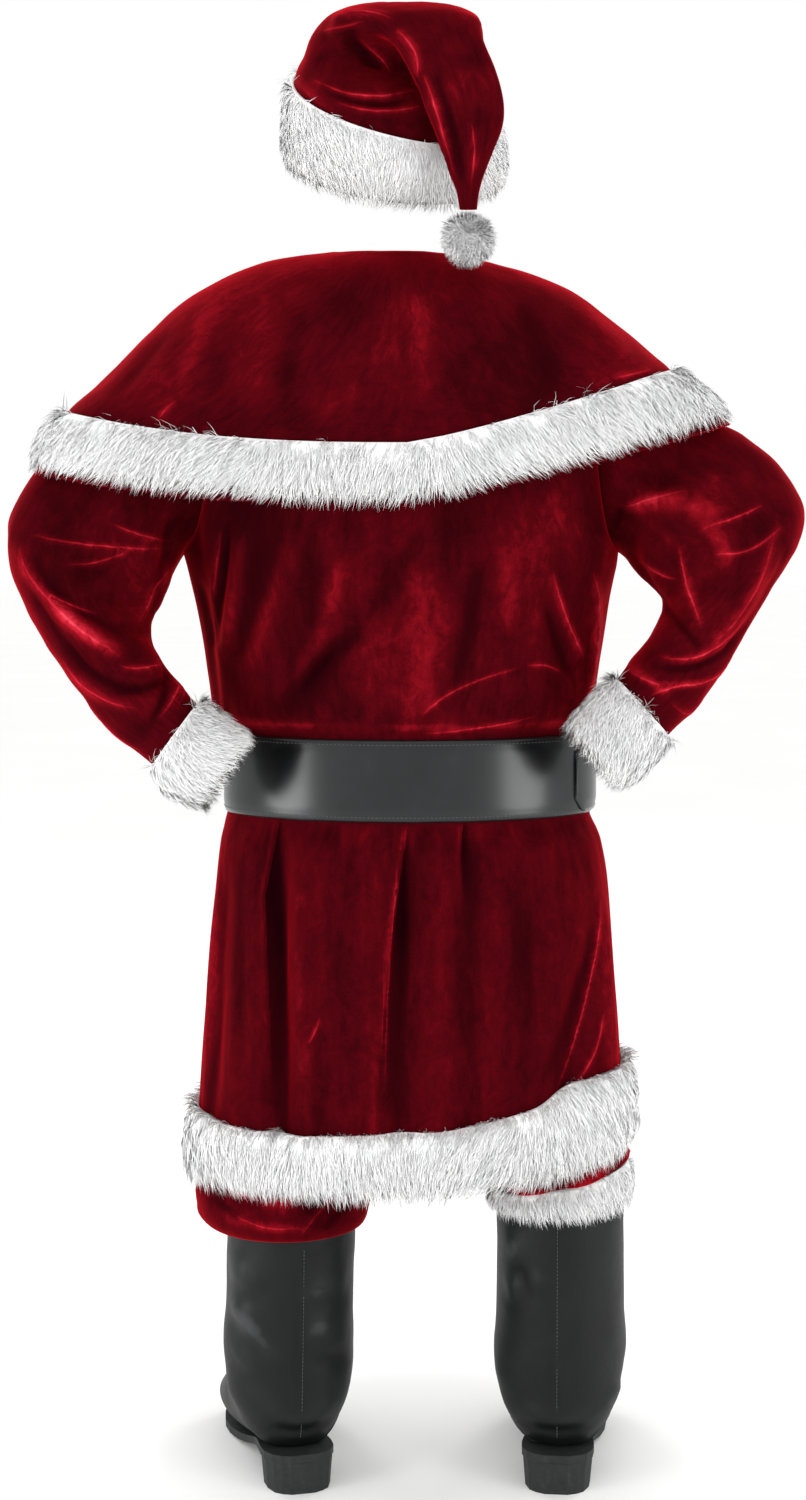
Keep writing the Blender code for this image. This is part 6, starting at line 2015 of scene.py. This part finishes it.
class SUIT_OT_fur(bpy.types.Operator):
    """Grow the fur on the hem, cape, cuffs, hat, boots and front"""

    bl_idname = "suit.fur"
    bl_label = "Fur"

    def execute(self, context):
        angles = np.linspace(0, 360, 360, endpoint=False)
        lower, upper = hem_line(angles, "bottom"), hem_line(angles, "fur_top")
        heights = np.stack([lower + HEM_TURN, upper])
        lines, outs = coat_at(angles, heights), coat_out(angles, heights)
        lines[0, :, 2] = lower - HOLD_HEIGHT
        fur_band("coat_hem_fur", lines, outs, True, HEM_LOOK)
        grids, normals = coat_shapes()
        for side in ("left", "right"):
            rings, ring_outs = grids["sleeve_" + side], normals["sleeve_" + side]
            first = (SLEEVE_ROWS - 1) - 2 * (SLEEVE_ROWS - 1) // len(LEFT_SLEEVE)
            picked = [first, (first + SLEEVE_ROWS - 1) // 2, SLEEVE_ROWS - 1]
            fur_band("cuff_" + side, rings[picked], ring_outs[picked], True, CUFF_LOOK)
        grid, normal = cape_shape()
        rows = [(CAPE_ROWS - 1) - (CAPE_ROWS - 1) // (len(CAPE) - 1), CAPE_ROWS - 1]
        lines = drawn_in(grid[rows], SEAM, rows=(False, False))
        fur_band("cape_fur", lines, normal[rows], False, CAPE_LOOK)
        grid = hat_grid()
        normal = normals_of(grid, closed=True)
        rows = [0, (HAT_ROWS - 1) // (len(HAT) - 1)]
        fur_band("hat_fur", grid[rows], normal[rows], True, HAT_LOOK)
        self.pompom(grid[-1].mean(axis=0))
        for place in BOOTS:
            self.boot_fur(place)
        self.front_fur()
        return {"FINISHED"}

    def pompom(self, tip):
        """A round pompom under the tail's tip, with fibres all round."""
        centre = tip - np.array([0, 0, POMPOM_RADIUS + SEAM])
        work = bmesh.new()
        bmesh.ops.create_icosphere(work, subdivisions=4, radius=1.0)
        ways = np.array([v.co for v in work.verts])
        faces = [[v.index for v in face.verts] for face in work.faces]
        work.free()
        lumpy = 1 + 0.10 * ripples(ways, (0.5, 0.5, 0.5), POMPOM_LOOK.seed)
        points = centre + ways * (POMPOM_RADIUS * POMPOM_LOOK.body * lumpy)[:, None]
        mesh = bpy.data.meshes.new("hat_pompom")
        mesh.from_pydata(points.tolist(), [], faces)
        obj = settled("hat_pompom_pile", mesh, material_for("pile_fur"))
        down = np.tile([0.0, 0.0, -1.0], (len(ways), 1))
        fur_piece("hat_pompom", obj, [True] * len(faces), down, POMPOM_LOOK)

    def boot_fur(self, place):
        """A ring of fur round the top of a boot."""
        turn = np.arange(BOOT_FUR_COLUMNS) * 2 * math.pi / BOOT_FUR_COLUMNS
        outward = 1 if place.side == "left" else -1
        across = np.cos(turn) * max(SHAFT[0].half_width, SHAFT[1].half_width)
        back = np.sin(turn) * max(SHAFT[0].half_depth, SHAFT[1].half_depth) + SHAFT[0].y
        top = place.fur_top + place.fur_rise * across * outward
        lower = in_boot(place, across, back, place.fur_bottom)
        lines = np.stack([lower, in_boot(place, across, back, top)])
        outs = level(lines - lines.mean(axis=1, keepdims=True))
        fur_band("boot_fur_" + place.side, lines, outs, True, BOOT_LOOK)

    def front_fur(self):
        """Strips down the middle of the front, above and below the belt."""
        spans = {
            "front_fur_lower": (hem_line(270.0, "fur_top") + FUR_OVER_HEM, BELT_BOTTOM),
            "front_fur_upper": (FRONT_FUR_FROM, UNDERARM_HEIGHT),
        }
        angles = np.array([260.0, 270.0, 280.0])[:, None]
        for name, (low, high) in spans.items():
            heights = np.linspace(low, high, FRONT_FUR_COLUMNS)
            lines, outs = coat_at(angles, heights), coat_out(angles, heights)
            fur_band(name, lines, outs, False, FRONT_LOOK, np.array([0.0, 0.0, -1.0]))


class SUIT_OT_stage(bpy.types.Operator):
    """Set the floor, the lamps and the camera"""

    bl_idname = "suit.stage"
    bl_label = "Stage"

    def execute(self, context):
        scene = context.scene
        mesh = bpy.data.meshes.new("floor")
        turn = np.linspace(0, 2 * math.pi, FLOOR_SIDES, endpoint=False)
        ring = stacked(np.cos(turn) * FLOOR_RADIUS, np.sin(turn) * FLOOR_RADIUS, 0.0)
        mesh.from_pydata(ring.tolist(), [], [list(range(FLOOR_SIDES))])
        mesh.materials.append(material_for("painted_floor"))
        floor = bpy.data.objects.new("floor", mesh)
        scene.collection.objects.link(floor)
        world = bpy.data.worlds.new("pale_studio")
        world.use_nodes = True
        background = world.node_tree.nodes["Background"]
        feed(world.node_tree, background, {"Color": linear("#ffffff"), "Strength": WORLD_STRENGTH})
        scene.world = world
        scene.view_settings.view_transform = "Standard"
        for name, place, size, power in LAMPS:
            light = bpy.data.lights.new(name, "AREA")
            light.shape = "DISK"
            light.size = size
            light.energy = power * suit_settings().light_power
            lamp = bpy.data.objects.new(name, light)
            lamp.location = place
            aim = Vector(LAMP_AIM) - Vector(place)
            lamp.rotation_euler = aim.to_track_quat("-Z", "Y").to_euler()
            scene.collection.objects.link(lamp)
        camera = bpy.data.cameras.new("camera")
        camera.lens = CAMERA_LENS
        camera.sensor_width = 36.0
        camera.dof.use_dof = False
        holder = bpy.data.objects.new("camera", camera)
        holder.location = CAMERA_PLACE
        holder.rotation_euler = [math.radians(angle) for angle in CAMERA_TURN]
        scene.collection.objects.link(holder)
        scene.camera = holder
        return {"FINISHED"}


class SUIT_PT_panel(bpy.types.Panel):
    """Lists the suit's settings and pieces"""

    bl_label = "Santa suit"
    bl_idname = "SUIT_PT_panel"
    bl_space_type = "VIEW_3D"
    bl_region_type = "UI"
    bl_category = "Santa suit"

    def draw(self, context):
        for name in SuitSettings.__annotations__:
            self.layout.prop(suit_settings(), name)
        for operator in OPERATORS:
            self.layout.operator(operator.bl_idname)


OPERATORS = (
    SUIT_OT_coat,
    SUIT_OT_sleeves,
    SUIT_OT_cape,
    SUIT_OT_hat,
    SUIT_OT_trousers,
    SUIT_OT_boots,
    SUIT_OT_belt,
    SUIT_OT_fur,
    SUIT_OT_stage,
)
CLASSES = (SuitSettings, *OPERATORS, SUIT_PT_panel)


def register():
    for item in CLASSES:
        bpy.utils.register_class(item)
    bpy.types.Scene.santa_suit = bpy.props.PointerProperty(type=SuitSettings)


def unregister():
    del bpy.types.Scene.santa_suit
    for item in reversed(CLASSES):
        bpy.utils.unregister_class(item)


def main():
    for obj in list(bpy.data.objects):
        if obj.name in ("Cube", "Light", "Camera"):
            bpy.data.objects.remove(obj, do_unlink=True)
    register()
    bpy.ops.suit.coat()
    bpy.ops.suit.sleeves()
    bpy.ops.suit.cape()
    bpy.ops.suit.hat()
    bpy.ops.suit.trousers()
    bpy.ops.suit.boots()
    bpy.ops.suit.belt()
    bpy.ops.suit.fur()
    bpy.ops.suit.stage()


if __name__ == "__main__":
    main()
